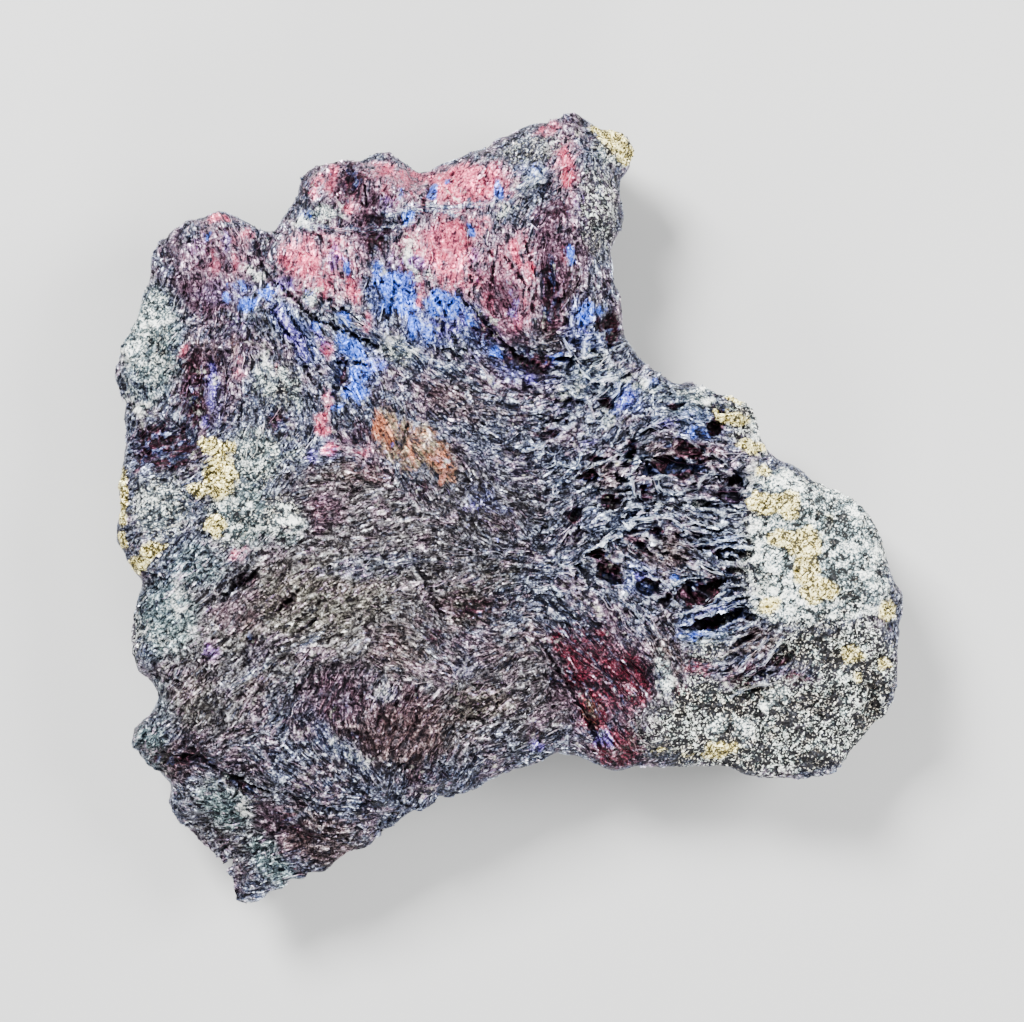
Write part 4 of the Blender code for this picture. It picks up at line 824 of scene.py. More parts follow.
stones = {  # each stone has a dark colour that paints shade into its gaps, a body colour, and a light colour that paints highlights on its bright edges; random tone picks between them too
    "grey": (paint(12, 12, 20), paint(72, 74, 92), paint(186, 196, 214)),
    "warm": (paint(24, 20, 22), paint(90, 85, 84), paint(148, 142, 137)),
    "olive": (paint(20, 18, 13), paint(82, 80, 62), paint(148, 146, 126)),
    "plum": (paint(20, 9, 18), paint(76, 48, 64), paint(154, 116, 138)),
    "frostAndGlint": (paint(18, 22, 42), paint(98, 112, 144), paint(236, 246, 255)),
    "teal": (paint(16, 26, 30), paint(80, 104, 104), paint(184, 210, 206)),
    "wine": (paint(14, 3, 8), paint(78, 13, 31), paint(138, 74, 90)),
    "bronze": (paint(40, 30, 28), paint(130, 84, 60), paint(232, 158, 116)),
    "ember": (paint(56, 32, 24), paint(188, 108, 76), paint(250, 192, 156)),
    "tan": (paint(40, 38, 30), paint(116, 104, 82), paint(206, 190, 150)),
    "blush": (paint(34, 26, 36), paint(146, 120, 138), paint(238, 220, 232)),
    "rose": (paint(84, 38, 54), paint(220, 92, 122), paint(255, 190, 204)),
    "slate": (paint(10, 12, 32), paint(74, 84, 136), paint(190, 202, 240)),
    "lilac": (paint(16, 14, 46), paint(104, 90, 172), paint(214, 204, 246)),
    "blue": (paint(6, 10, 44), paint(64, 104, 220), paint(160, 190, 252)),
    # navy and maroon are the painted shade of the hollows
    "navy": (paint(3, 4, 12), paint(14, 18, 46), paint(92, 100, 140)),
    "brown": (paint(18, 10, 10), paint(74, 56, 51), paint(150, 130, 120)),
    "maroon": (paint(6, 2, 5), paint(42, 12, 24), paint(132, 90, 108)),
    "chalk": (paint(10, 14, 16), paint(116, 134, 138), paint(250, 252, 244)),
    "salt": (paint(3, 3, 5), paint(50, 56, 54), paint(238, 242, 232)),
    "loam": (paint(5, 4, 4), paint(54, 48, 44), paint(228, 222, 204)),
    "pyrite": (paint(44, 40, 22), paint(192, 174, 96), paint(255, 246, 186)),
}
speckle = {  # noise on Object coordinates: features to a metre, detail, roughness
    "coarse": (380.0, 2.0, 0.6),
    "medium": (1500.0, 2.0, 0.65),
    "fine": (5200.0, 1.0, 0.6),
}
streaks = {  # noise on the grain: stretch along, across and from bundle to bundle, detail, roughness
    "band": ((0.4, 2.3, 1.0), 2.0, 0.6),
    "fibre": ((0.45, 6.0, 3.0), 2.0, 0.6),
    "drift": ((1.0, 3.4, 7.0), 2.0, 0.6),
    "streak": ((1.8, 5.0, 3.0), 3.0, 0.7),
}
crystals = {"perMetre": 3000.0, "wander": 0.0009, "outline": 0.13}
looks = {  # what makes a point of the slab, or of a flake, light or dark, and how light each starts
    # edge adds a painted highlight on ridges, and gap takes light off as painted shade in creases
    "slab": {
        "light": {"streak": 1.7, "fine": 1.6, "fibre": 1.8, "tone": 0.3},
        "band": 1.1, "edge": 0.6, "gap": 0.6, "base": 0.30, "sugar": 0.34, "chalk": 0.60,
    },
    "flake": {
        "light": {"streak": 0.8, "fine": 1.2, "medium": 0.5, "tone": 0.25},
        "band": 0.75, "edge": 0.3, "gap": 0.5, "base": 0.32, "sugar": 0.44, "chalk": 0.56,
    },
    "calm": 0.28,     # how much smoother the light is on the brightest tarnish
    "even": 0.55,     # and on the warm grey
    "paintedShade": 0.16,     # how much darker the painted shade makes its patches
    "glint": 0.28,    # and how much lighter a few flakes
}
sugarLight = {"crystal": 1.9, "fine": 4.0, "coarse": 1.3, "medium": 2.0}
chalkLight = {"coarse": 2.6, "medium": 2.4, "fine": 2.6, "crystal": 0.7}
greys = (  # field, stone, where it starts and is full, strength, how ragged its border is
    ("olive", "olive", 0.15, 1.05, 0.7, 0.5), ("plum", "plum", 0.15, 1.05, 0.8),
    ("brown", "brown", 0.15, 0.95, 0.8), ("frostAndGlint", "frostAndGlint", 0.3, 1.2, 0.6),
    ("teal", "teal", 0.1, 1.0, 0.8), ("wine", "wine", 0.2, 0.75, 0.97),
)
tarnishes = (  # the same, and how much lighter it is
    ("ember", "ember", 0.3, 1.0, 0.85), ("rose", "blush", 0.05, 0.55, 0.9),
    ("rose", "rose", 0.32, 0.98, 0.95), ("slate", "slate", 0.3, 1.0, 0.9),
    ("striae", "plum", 0.35, 1.1, 0.9, 1.0, 0.05), ("lilac", "lilac", 0.3, 0.9, 0.9),
)
surface = {
    "roughness": 0.32, "metallic": 0.8, "specular": 0.25,
    "bump": 0.6,        # strength
    "bumpDepth": 0.12,  # in millimetres
}


def stoneFinish(name, kind):
    material = bpy.data.materials.new(name)
    material.use_nodes = True
    tree = material.node_tree
    shader = tree.nodes["Principled BSDF"]
    wire = Wire(tree)
    look = looks[kind]
    place = wire.make("ShaderNodeTexCoord", output="Object")

    def stretched(name):
        stretch, *values = streaks[name]
        return wire.noise(wire.vector("MULTIPLY", wire.field("grain", "Vector"), stretch), 1.0, *values)

    coarse, medium, fine = (wire.noise(place, *speckle[name]) for name in ("coarse", "medium", "fine"))
    band, drift = stretched("band"), stretched("drift")
    signal = {"coarse": coarse, "medium": medium, "fine": fine, "tone": wire.field("tone")}
    gap, calm, even = wire.field("gap"), wire.field("calm"), 1 - wire.field("warm") * looks["even"]
    if kind == "flake":
        spark, outline = wire.field("spark"), 0.25
        glint = (spark - 0.86).between(0.0, 0.1) * looks["glint"] * even
        signal |= {"streak": spark * 0.85 + fine * 0.15, "crystal": spark}
    else:
        bent = wire.vector("ADD", place, (medium - 0.5) * crystals["wander"])
        cells = {"Vector": bent, "Scale": crystals["perMetre"]}
        outline = wire.make("ShaderNodeTexVoronoi", {"feature": "DISTANCE_TO_EDGE"}, cells)
        outline, glint = outline.between(crystals["outline"], 0.0), 0.0
        crystal = wire.make("ShaderNodeTexVoronoi", None, cells, output="Color")
        signal |= {"streak": stretched("streak"), "fibre": stretched("fibre"), "crystal": crystal}
    streak = signal["streak"]

    def summed(weights, start):
        for name, weight in weights.items():
            start = start + (signal[name] - 0.5) * weight
        return start

    light = summed(look["light"], look["base"]) + (band - 0.5) * look["band"] * even + glint
    # painted highlight on ridges and painted shade in gaps, cracks and beside seams
    light = light + wire.field("edge") * look["edge"] - gap * look["gap"]
    light = light + (0.50 - light) * calm * looks["calm"] - wire.field("paintedShade") * looks["paintedShade"] - 0.02
    sugar = summed(sugarLight, (light - 0.4) * 0.4 + look["sugar"]) - outline * 0.9
    # gap paints shade into the chalk as well
    chalky = look["chalk"] - gap * 0.5 - medium.between(0.44, 0.36) * 0.7 - outline * 0.5
    chalky = summed(chalkLight, chalky)

    # the low colour, where light is low, carries the painted shade of gaps; the high colour carries painted
    # highlights on edges
    def shade(stone, brightness=light):
        low, middle, high = stones[stone]
        dark = wire.mix(brightness.between(0.50, 0.06), middle, low)
        return wire.mix(brightness.between(0.52, 1.0), dark, high)

    def mask(value, low, high, ragged=1.0, streaky=1.0):
        value = wire.field(value) if isinstance(value, str) else value
        value = value + ((streak - 0.5) * 0.6 * streaky + (band - 0.5) * 1.3 * streaky) * ragged
        value = value + ((medium - 0.5) * 0.9 + (coarse - 0.5) * 0.9) * ragged
        return value.between(low, high)

    def laid(ground, field, stone, low, high, strength, ragged=1.0, lift=0.0):
        colour = shade(stone, light + lift) if lift else shade(stone)
        return wire.mix(mask(field, low, high, ragged) * strength, ground, colour)

    ground = laid(shade("grey"), "warm", "warm", 0.1, 0.9, 0.8, 0.4)
    ground = wire.mix(coarse.between(0.5, 0.66) * 0.55, ground, shade("plum"))
    ground = wire.mix(drift.between(0.46, 0.34) * 0.6 * even, ground, shade("frostAndGlint"))
    ground = wire.mix(drift.between(0.54, 0.66) * 0.5 * even, ground, shade("olive"))
    for layer in greys:
        ground = laid(ground, *layer)
    tanned = wire.mix(band.between(0.44, 0.58), shade("bronze", light - 0.06), shade("tan", light - 0.06))
    tanned = wire.mix(drift.between(0.44, 0.34) * 0.8, tanned, shade("brown"))
    ground = wire.mix(mask("bronze", 0.28, 0.8) * 0.95, ground, tanned)
    for layer in tarnishes:
        ground = laid(ground, *layer)
    azure = wire.mix(drift.between(0.44, 0.56), shade("slate"), shade("blue", light + 0.08))
    azure = wire.mix(mask("blue", 0.55, 1.0), azure, shade("blue"))
    ground = wire.mix(mask("blue", 0.34, 0.8) * 0.95, ground, azure)
    # painted shade in the hollows and pits, near black, tinted from maroon to navy by each plate's tone
    hollow = wire.mix((signal["tone"] - 0.45) * 4.0, shade("maroon"), shade("navy"))
    ground = wire.mix(mask(wire.field("hollowShade") + wire.field("pit") * 0.75, 0.3, 0.95), ground, hollow)
    salt = wire.field("salt").between(0.1, 0.7) * 0.9
    mixed = wire.mix(coarse.between(0.56, 0.44), shade("salt", sugar), shade("loam", sugar - 0.05))
    mixed = wire.mix(medium.between(0.52, 0.64) * 0.5, mixed, shade("teal", sugar))
    ground = wire.mix(salt, ground, mixed)
    chalk = mask("chalk", 0.2, 0.95, 1.3, 0.2) * 0.9
    ground = wire.mix(chalk, ground, shade("chalk", chalky))
    ground = wire.mix(mask("pyrite", 0.26, 0.66, 1.0, 0.2), ground, shade("pyrite", sugar + 0.3))
    # painted highlight along the seams
    ground = wire.mix(wire.field("seam").between(0.1, 0.9) * 0.7, ground, shade("frostAndGlint", light + 0.1))

    bump = {"Strength": surface["bump"], "Distance": surface["bumpDepth"] * mm}
    worked = {
        "Base Color": ground,
        "Roughness": surface["roughness"] + medium * 0.2 + chalk * 0.3 + salt * 0.12,
        "Metallic": surface["metallic"] - chalk * 0.7 - salt * 0.4,
        "Normal": wire.make("ShaderNodeBump", None, bump | {"Height": streak * 0.6 + fine * 0.4}),
    }
    for name, value in worked.items():
        tree.links.new(value.socket, shader.inputs[name])
    shader.inputs["Specular IOR Level"].default_value = surface["specular"]
    return material


# Flakes and grains, scattered by a node tree

flakeShapes = {  # corners of the top of each plate, along, across and how far lifted; one point is buried
    "lens": ((-1.0, 0.0, 0.1), (-0.2, 0.8, 0.0), (0.5, 0.5, 0.2), (1.0, -0.2, 0.0), (0.0, -0.8, 0.1)),
    "notch": ((-1.0, -0.4, 0.0), (-0.7, 0.5, 0.2), (0.2, 0.3, 0.0), (1.0, 0.7, 0.3), (0.5, -0.8, 0.0)),
    "blade": ((-1.0, 0.3, 0.0), (0.0, 0.6, 0.2), (1.0, 0.0, 0.0), (0.1, -0.3, 0.0)),
    "hook": ((-1.0, 0.6, 0.3), (-0.1, 0.0, 0.0), (0.8, 0.5, 0.1), (1.0, 0.0, 0.0), (0.0, -0.7, 0.1)),
    "chip": ((-0.8, -0.5, 0.0), (-0.5, 0.7, 0.2), (0.7, 0.8, 0.0), (0.9, -0.6, 0.2)),
}
grainShape = ((0.9, 0.1, 0.5), (-0.3, 0.9, 0.6), (-0.7, -0.6, 0.4), (0.3, -0.8, 0.7), (0.1, 0.1, 1.1))
flakeSets = {  # how many to a square millimetre; half length, half width and depth; turns in degrees
    "folia_plates": {"Shapes": "flakes", "Region": "foliaPlate", "Density": 7.4, "Size": (0.46, 0.12, 0.26),
                     "Smallest": 0.30, "Roll": (36, 18, 36), "Sink": 0.02, "Seed": 3},
    "folia_fine": {"Shapes": "flakes", "Region": "foliaFine", "Density": 10.6, "Size": (0.46, 0.05, 0.22),
                   "Smallest": 0.35, "Roll": (55, 12, 24), "Sink": 0.03, "Seed": 4},
    "folia_wavy": {"Shapes": "flakes", "Region": "foliaWavy", "Density": 24.0, "Size": (0.50, 0.05, 0.26),
                   "Smallest": 0.35, "Roll": (50, 14, 20), "Sink": 0.04, "Seed": 5},
    "folia_slick": {"Shapes": "flakes", "Region": "foliaSlick", "Density": 1.6, "Size": (0.80, 0.26, 0.22),
                    "Smallest": 0.25, "Roll": (9, 6, 14), "Sink": 0.03, "Seed": 8},
    "sugar_grains": {"Shapes": "grains", "Region": "sugar", "Density": 9.0, "Size": (0.18, 0.18, 0.16),
                     "Smallest": 0.35, "Roll": (180, 180, 180), "Sink": 0.04, "Seed": 6},
}
scatterInputs = {
    "Geometry": "Geometry", "Shapes": "Collection", "Region": "String", "Density": "Float", "Size": "Vector",
    "Smallest": "Float", "Roll": "Vector", "Sink": "Float", "Seed": "Int",
}


def collected(name, works):  # a collection of small closed shapes
    group = bpy.data.collections.new(name)
    for shape, work in works.items():
        bmesh.ops.recalc_face_normals(work, faces=work.faces)
        mesh = reworked(bpy.data.meshes.new(shape), work)
        group.objects.link(bpy.data.objects.new(shape, mesh))
    return group


def flakeWork(corners):
    work = bmesh.new()
    top = [work.verts.new(corner) for corner in corners]
    foot = work.verts.new((0, 0, -1))
    for n in range(1, len(top) - 1):
        work.faces.new((top[0], top[n], top[n + 1]))
    for n, corner in enumerate(top):
        work.faces.new((foot, top[(n + 1) % len(top)], corner))
    return work


def grainWork():  # a small broken crystal
    work = bmesh.new()
    ring = [work.verts.new(corner) for corner in grainShape[:4]]
    foot = [work.verts.new((x * 0.8, y * 0.8, -0.8)) for x, y, _ in grainShape[:4]]
    peak = work.verts.new(grainShape[4])
    for n in range(4):
        m = (n + 1) % 4
        work.faces.new((ring[n], ring[m], peak))
        work.faces.new((foot[n], foot[m], ring[m]))
        work.faces.new((foot[n], ring[m], ring[n]))
    work.faces.new((foot[0], foot[2], foot[1]))
    work.faces.new((foot[0], foot[3], foot[2]))
    return work


def scatterTree(material):
    tree = bpy.data.node_groups.new("scatter flakes", "GeometryNodeTree")
    for name, kind in scatterInputs.items():
        tree.interface.new_socket(name, in_out="INPUT", socket_type="NodeSocket" + kind)
    tree.interface.new_socket("Geometry", in_out="OUTPUT", socket_type="NodeSocketGeometry")

    def node(kind, sockets=None, output=0, **settings):
        return addNode(tree, kind, settings, sockets).outputs[output]

    def scaled(vector, scale):
        return node("ShaderNodeVectorMath", {0: vector, "Scale": scale}, operation="SCALE")

    given = addNode(tree, "NodeGroupInput").outputs
    region = node("GeometryNodeInputNamedAttribute", {"Name": given["Region"]}, data_type="FLOAT")
    density = node("ShaderNodeMath", {0: region, 1: given["Density"]}, operation="MULTIPLY")
    seeded = {"Mesh": given["Geometry"], "Density": density, "Seed": given["Seed"]}
    spread = addNode(tree, "GeometryNodeDistributePointsOnFaces", {"distribute_method": "RANDOM"}, seeded)
    points = spread.outputs
    spark = node("FunctionNodeRandomValue", {"Seed": given["Seed"]}, 1, data_type="FLOAT")
    marked = node("GeometryNodeStoreNamedAttribute",
                  {"Geometry": points["Points"], "Name": "spark", "Value": spark},
                  data_type="FLOAT", domain="POINT")
    flow = node("GeometryNodeInputNamedAttribute", {"Name": "flow"}, data_type="FLOAT_VECTOR")
    turn = node("FunctionNodeAlignRotationToVector", {"Vector": flow}, axis="X")
    turn = node("FunctionNodeAlignRotationToVector", {"Rotation": turn, "Vector": points["Normal"]},
                axis="Z", pivot_axis="X")
    roll = node("FunctionNodeRandomValue", {0: scaled(given["Roll"], -1.0), 1: given["Roll"], "Seed": 7},
                data_type="FLOAT_VECTOR")
    turn = node("FunctionNodeRotateRotation", {0: turn, 1: node("FunctionNodeEulerToRotation", {0: roll})},
                rotation_space="LOCAL")
    chance = node("FunctionNodeRandomValue", {"Seed": 9}, 1, data_type="FLOAT")
    uneven = node("ShaderNodeMath", {0: chance, 1: 2.0}, operation="POWER")
    size = node("ShaderNodeMapRange", {"Value": uneven, "To Min": given["Smallest"], "To Max": 1.0})
    sink = scaled(points["Normal"], given["Sink"])
    sunk = node("GeometryNodeSetPosition", {"Geometry": marked, "Offset": sink})
    shapes = node("GeometryNodeCollectionInfo",
                  {"Collection": given["Shapes"], "Separate Children": True, "Reset Children": True})
    placed = node("GeometryNodeInstanceOnPoints",
                  {"Points": sunk, "Instance": shapes, "Pick Instance": True, "Rotation": turn,
                   "Scale": scaled(given["Size"], size)})
    real = node("GeometryNodeRealizeInstances", {"Geometry": placed})
    dressed = node("GeometryNodeSetMaterial", {"Geometry": real, "Material": material})
    addNode(tree, "NodeGroupOutput", None, {0: dressed})
    return tree


def regionFields(piece):  # how thickly each set of flakes grows
    mesh = piece.data
    x, y, z = (readPoints(mesh) / mm).T
    has = {name: readField(mesh, name) for name in (
        "salt", "pyrite", "up", "slick", "wavy", "strands", "hollowShade", "wine", "calm", "pit", "crest", "edge",
        "warm")}
    sugar = np.clip(has["salt"] + has["pyrite"], 0, 1)
    smooth = np.clip(np.maximum(has["slick"], has["calm"]), 0, 1)
    clumps = ease(-0.35, 0.35, noiseAt(x / 1.4, y / 1.4, z / 1.4, 61))
    side = 0.25 + 0.75 * has["up"]
    free = (1 - 0.8 * sugar) * (1 - 0.93 * ease(0.3, 0.85, has["hollowShade"])) * (1 - 0.6 * has["wine"]) * side
    rims = np.clip(0.12 + 0.7 * has["crest"] + 0.3 * has["edge"] + 0.4 * has["strands"], 0, 1)
    storeFields(mesh, {
        "foliaPlate": free * (1 - 0.9 * smooth) * (1 - 0.93 * has["wavy"]) * (0.5 + 0.5 * clumps)
        * (1 - 0.85 * has["strands"]),
        "foliaFine": free * (1 - 0.85 * smooth) * (1 - 0.95 * has["wavy"])
        * (0.35 + 0.45 * has["warm"] + 0.4 * (1 - clumps)),
        "foliaWavy": free * np.maximum(has["wavy"], 0.5 * has["strands"]) * rims
        * (1 - 0.9 * has["pit"]),
        "foliaSlick": free * smooth * (1 - has["wavy"]),
        "sugar": sugar * side,
    })


def scatter(piece, shapes, name, material):
    holder = addObject(name, piece.data.copy())
    modifier = holder.modifiers.new("scatter", "NODES")
    modifier.node_group = scatterTree(material)
    values = dict(flakeSets[name])
    values["Shapes"] = shapes[values["Shapes"]]
    values["Density"] = values["Density"] / mm**2
    values["Size"] = [side * mm for side in values["Size"]]
    values["Roll"] = [math.radians(angle) for angle in values["Roll"]]
    values["Sink"] = -values["Sink"] * mm
    for socket in modifier.node_group.interface.items_tree:
        if socket.in_out == "INPUT" and socket.name in values:
            modifier[socket.identifier] = values[socket.name]
    mesh = baked(holder)
    writePoints(mesh, readPoints(mesh))
    print(name, len(mesh.polygons), "faces")
    return holder


# Ribbons: long thin edges of folia, traced along the run of the bundles

ribbons = {
    "count": 6400,
    "strands": 2.4,            # short strands to a millimetre of seam
    "stride": 0.15,            # from one station to the next, in millimetres
    "stations": (7, 20),
    "width": (0.035, 0.075),   # half width
    "broad": 0.7,              # how much broader the main strand of a seam is
    "height": (0.06, 0.20),    # above the surface
    "root": 0.16,              # below it
    "stray": (1.10, 0.8),      # how far the direction wanders, in radians, and over what length
    "jitter": (0.25, 0.25),    # the same for its small bends
    "mainSway": (0.16, 0.7),   # how far a seam's main strand wanders, and over what length
    "sideSway": (0.35, 1.2),   # and its side strands
    "drop": 0.4,               # a ribbon ends at a step higher than this
    "steepest": 0.2,           # or where a normal looks up less than this
    "merge": 0.05,             # stations nearer than this are left out
    "fewest": 5,               # and a ribbon with fewer left isn't made
    "seed": 12,
}


def looseTracks(draw):  # x and y, by strand and station, of strands that start anywhere
    reach = np.array(cadBox[1])[:2] / mm
    x, y = draw.uniform(-1, 1, (2, ribbons["count"])) * reach[:, None]
    sway = draw.uniform(0, 50, ribbons["count"])
    (stray, strayLength), (jitter, jitterLength) = ribbons["stray"], ribbons["jitter"]
    tracks = []
    for _ in range(ribbons["stations"][1]):
        tracks.append((x, y))
        turn = runAt(x, y) + stray * noiseAt(x / strayLength, y / strayLength, sway, 71)
        turn += jitter * noiseAt(x / jitterLength, y / jitterLength, sway, 72)
        x, y = x + ribbons["stride"] * np.cos(turn), y + ribbons["stride"] * np.sin(turn)
    return np.array(tracks).transpose(1, 2, 0)


def seamTracks(draw):  # the same for strands that follow the seams, and which of them are main ones
    stations = ribbons["stations"][1]
    tracks, main = [], []
    for width, _, corners in seams:
        corners = np.array(corners)
        lengths = np.concatenate([[0], np.cumsum(np.hypot(*np.diff(corners, axis=0).T))])

        def stretch(begin):
            stops = np.clip(begin + np.arange(stations) * ribbons["stride"], 0, lengths[-1])
            return [np.interp(stops, lengths, corners[:, n]) for n in (0, 1)]

        reach, size = ribbons["mainSway"]
        for begin in np.arange(0, lengths[-1], (stations - 3) * ribbons["stride"]):
            x, y = stretch(begin)
            tracks.append([v + reach * noiseAt(x / size, y / size, 5, 75 + n) for n, v in enumerate((x, y))])
            main.append(1)
        reach, size = ribbons["sideSway"]
        for _ in range(int(lengths[-1] * ribbons["strands"])):
            x, y = stretch(draw.uniform(-0.5, lengths[-1] - 0.5))
            shiftX, shiftY = draw.normal(0, 0.7 * width, 2)
            sway = draw.uniform(0, 90)
            x = x + shiftX + reach * noiseAt(x / size, y / size, sway, 73)
            y = y + shiftY + reach * noiseAt(x / size, y / size, sway, 74)
            tracks.append([x, y])
            main.append(0)
    return np.array(tracks).transpose(1, 0, 2), np.array(main)


def landed(tree, track):  # the points of a track on the surface, as far as it runs without a break
    hits = []
    for x, y in track:
        above = Vector((x * mm, y * mm, cadBox[1][2] + 0.01))
        spot, normal, _, _ = tree.ray_cast(above, Vector((0, 0, -1)))
        if spot is None or normal.z < ribbons["steepest"]:
            break
        if hits and abs(spot.z - hits[-1].z) > ribbons["drop"] * mm:
            break
        if not hits or (spot - hits[-1]).length > ribbons["merge"] * mm:
            hits.append(spot)
    return hits


def addRibbon(points, faces, hits, wide, tall):  # a closed sliver, pointed at both ends
    root = Vector((0, 0, ribbons["root"] * mm))
    base, last = len(points), len(hits) - 1
    points.append(hits[0] - root)
    for n in range(1, last):
        full = math.sin(math.pi * n / last) ** 0.5
        run = (hits[n + 1] - hits[n - 1]).normalized()
        side = run.cross(Vector((0, 0, 1))).normalized() * wide * full
        lift = Vector((0, 0, tall * full))
        points += [hits[n] + side - root, hits[n] - side - root,
                   hits[n] - side * 0.5 + lift, hits[n] + side * 0.5 + lift * 0.7]
    points.append(hits[last] - root)
    end = len(points) - 1
    for ring in range(base + 1, end - 4, 4):
        for k in range(4):
            m = (k + 1) % 4
            faces.append((ring + k, ring + m, ring + 4 + m, ring + 4 + k))
    for k in range(4):
        m = (k + 1) % 4
        faces.append((base, base + 1 + m, base + 1 + k))
        faces.append((end, end - 4 + k, end - 4 + m))


def traceRibbons(piece):
    tree = BVHTree.FromPolygons([v.co.copy() for v in piece.data.vertices],
                                [tuple(p.vertices) for p in piece.data.polygons])
    draw = np.random.default_rng(ribbons["seed"])
    loose = looseTracks(draw)
    along, main = seamTracks(draw)
    tracks = np.concatenate([loose, along], axis=1)
    begin, count = tracks[:, :, 0], ribbons["count"]
    rich, poor = zones["wavy"] + zones["strands"] + shades["frostAndGlint"], tarnish["salt"] + zones["slick"]
    wanted = 0.34 + 0.66 * np.clip(patches(*begin, rich), 0, 1)
    wanted *= 1 - 0.9 * np.clip(patches(*begin, poor), 0, 1)
    wanted *= 1 - 0.9 * ease(0.4, 0.9, patches(*begin, tarnish["hollowShade"]))
    wanted[count:] = 1.0
    length, width, height, chance = draw.uniform(0, 1, (tracks.shape[1], 4)).T
    main = main * np.clip(patches(*begin[:, count:], zones["wavy"]), 0, 1)
    broad = np.concatenate([np.ones(count), 1 + main * ribbons["broad"]])
    length[count:] = np.maximum(length[count:], main)
    fewest, most = ribbons["stations"]
    points, faces, sparks = [], [], []
    for r in np.flatnonzero(chance <= wanted):
        hits = landed(tree, tracks[:, r, :int(fewest + length[r] ** 2 * (most - fewest))].T)
        if len(hits) < ribbons["fewest"]:
            continue
        base = len(points)
        wide = np.interp(width[r], (0, 1), ribbons["width"]) * broad[r] * mm
        tall = np.interp(height[r], (0, 1), ribbons["height"]) * broad[r] * mm
        addRibbon(points, faces, hits, wide, tall)
        sparks += [0.55 + 0.45 * chance[r] / max(wanted[r], 0.01)] * (len(points) - base)
    mesh = bpy.data.meshes.new("folia_ribbons")
    mesh.from_pydata([tuple(p) for p in points], [], faces)
    work = opened(mesh)
    bmesh.ops.triangulate(work, faces=work.faces)
    bmesh.ops.recalc_face_normals(work, faces=work.faces)
    reworked(mesh, work)
    writePoints(mesh, readPoints(mesh))
    places = readPoints(mesh) / mm
    found = fieldsAt(*places.T)
    seam, inWaves = found["seam"], np.clip(found["wavy"], 0, 1)
    # edge paints a highlight on the ribbons, strongest in the waves, and seam gives them the frost and glint
    # colour
    storeFields(mesh, found | {
        "spark": sparks,
        "tone": 0.5 + 0 * seam,
        "edge": 0.2 + 1.4 * inWaves * np.clip(0.4 + seam, 0, 1),
        "seam": seam * (0.35 + 0.65 * inWaves),
    })
    storeVector(mesh, "grain", places)
    print("folia_ribbons", len(mesh.polygons), "faces")
    return addObject("folia_ribbons", mesh)


# Stage: floor, lights and camera

stage = {
    "mmPerPixel": 0.09, "middlePixel": (508.5, 509.5), "frameSize": (1024, 1022),
    "lens": 120.0, "sensor": 36.0, "faceLevel": 9.0,
    "floor": paint(168, 168, 167), "floorRoughness": 0.7,
    "sky": (0.92, 0.95, 1.0, 1.0), "skyPower": 0.45,
    "aim": (0, 0, 0.005),
    "lamps": {  # place in metres, size, power
        "key": ((-0.26, 0.34, 0.42), 0.20, 17.0),
        "fill": ((0.42, 0.10, 0.30), 0.25, 7.0),
        "low": ((0.05, -0.45, 0.22), 0.20, 4.0),
    },
}


def makeStage():
    bpy.ops.mesh.primitive_plane_add(size=4.0, location=(0, 0, -0.00005))
    floor = bpy.context.active_object
    floor.name = "floor"
    material = bpy.data.materials.new("floor")
    material.use_nodes = True
    shader = material.node_tree.nodes["Principled BSDF"]
    shader.inputs["Base Color"].default_value = stage["floor"]
    shader.inputs["Roughness"].default_value = stage["floorRoughness"]
    floor.data.materials.append(material)

    world = bpy.data.worlds.new("studio")
    world.use_nodes = True
    background = world.node_tree.nodes["Background"]
    background.inputs["Color"].default_value = stage["sky"]
    background.inputs["Strength"].default_value = stage["skyPower"]
    bpy.context.scene.world = world
    for name, (location, size, power) in stage["lamps"].items():
        data = bpy.data.lights.new(name, "AREA")
        data.size = size
        data.energy = power
        lamp = addObject(name, data)
        lamp.location = location
        lamp.rotation_euler = (Vector(stage["aim"]) - Vector(location)).to_track_quat("-Z", "Y").to_euler()
        lamp.visible_camera = False


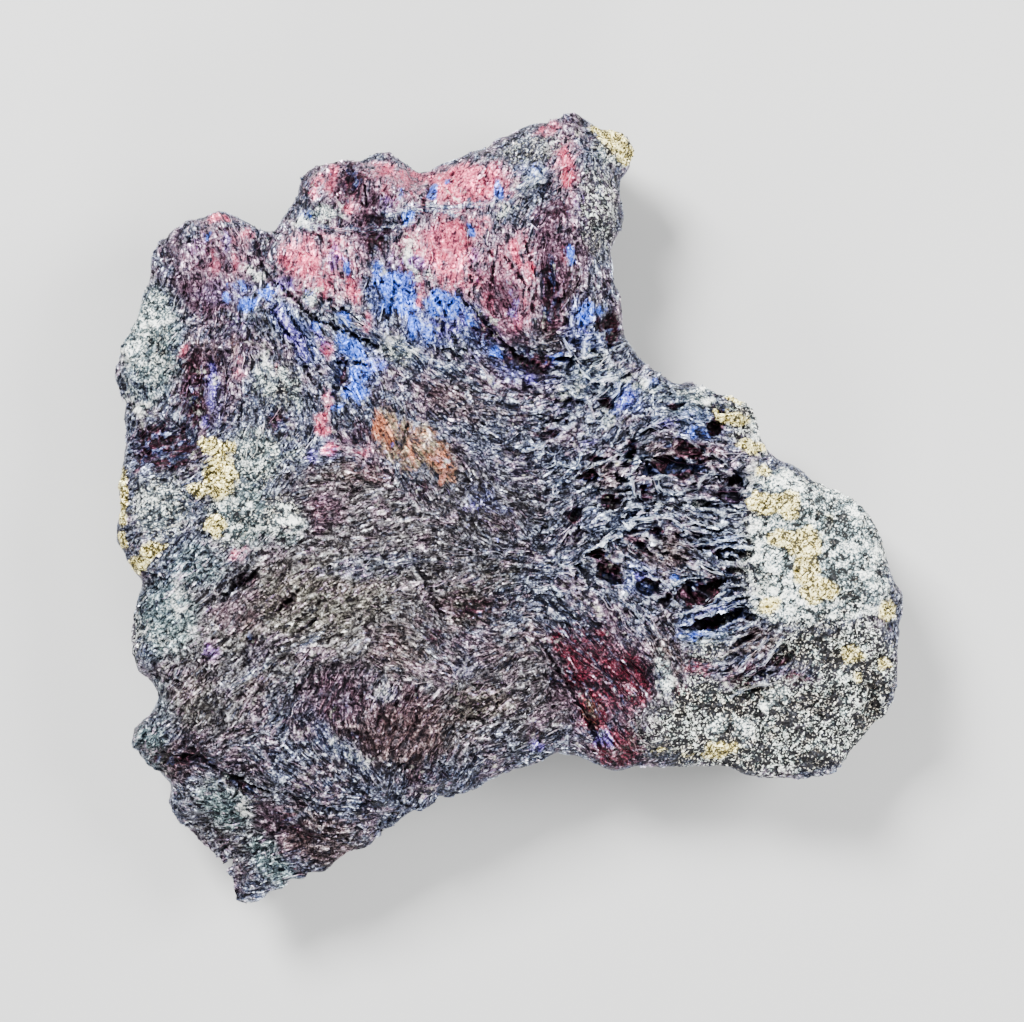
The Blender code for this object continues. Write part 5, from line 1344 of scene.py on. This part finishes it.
def makeCamera():
    data = bpy.data.cameras.new("camera")
    data.lens = stage["lens"]
    data.sensor_width = stage["sensor"]
    data.clip_start = 0.01
    camera = addObject("camera", data)
    (width, height), (px, py) = stage["frameSize"], stage["middlePixel"]
    scale = stage["mmPerPixel"]
    distance = scale * width * data.lens / data.sensor_width
    camera.location = (
        (width / 2 - px) * scale * mm,
        (py - height / 2) * scale * mm,
        (stage["faceLevel"] + distance) * mm,
    )
    bpy.context.scene.camera = camera


def bakeMap(piece, charts):  # a flat map from above; the slab has charts for its face, back and rim
    mesh = piece.data
    corners = np.empty(len(mesh.loops), dtype=np.int32)
    mesh.loops.foreach_get("vertex_index", corners)
    low, high = np.array(cadBox[0]), np.array(cadBox[1])
    points = readPoints(mesh)[corners]
    flat = (points - low) / (high - low).max()
    places = flat[:, :2]
    if charts:
        middles, normals = (np.repeat(readVectors(mesh.polygons, name, len(mesh.polygons)), 3, axis=0)
                            for name in ("center", "normal"))
        middle = np.arctan2(middles[:, 1], middles[:, 0]) / math.tau
        around = np.arctan2(points[:, 1], points[:, 0]) / math.tau
        around = middle + (around - middle + 0.5) % 1 - 0.5
        rim = np.stack([(around + 0.5) * 0.97 + 0.015, 0.75 + flat[:, 2] * 1.1], axis=1)
        upward = normals[:, 2:]
        below = np.where(upward < -0.5, places * 0.25 + (0.74, 0.0), rim)
        places = np.where(upward > 0.2, places * 0.73, below)
    layer = mesh.uv_layers.new(name="OFBake")
    layer.data.foreach_set("uv", np.clip(places, 0, 1).astype(np.float32).ravel())


def dress(piece, material, charts=False):
    bakeMap(piece, charts)
    piece.data.materials.clear()
    piece.data.materials.append(material)
    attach(piece, "root")


makeCamera()
makeStage()
slab = reliefBody(makeBody())
regionFields(slab)
slabFinish = stoneFinish("covellite_surface", "slab")
flakeFinish = stoneFinish("covellite_folia", "flake")
shapes = {
    "flakes": collected("flakes", {"flake_" + n: flakeWork(corners) for n, corners in flakeShapes.items()}),
    "grains": collected("grains", {"grain": grainWork()}),
}
made = [scatter(slab, shapes, name, flakeFinish) for name in flakeSets]
made.append(traceRibbons(slab))
for group in shapes.values():
    for item in list(group.objects):
        bpy.data.objects.remove(item)
    bpy.data.collections.remove(group)
for piece in made:
    dress(piece, flakeFinish)
dress(slab, slabFinish, charts=True)
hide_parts("covellite")
print("pieces dressed")
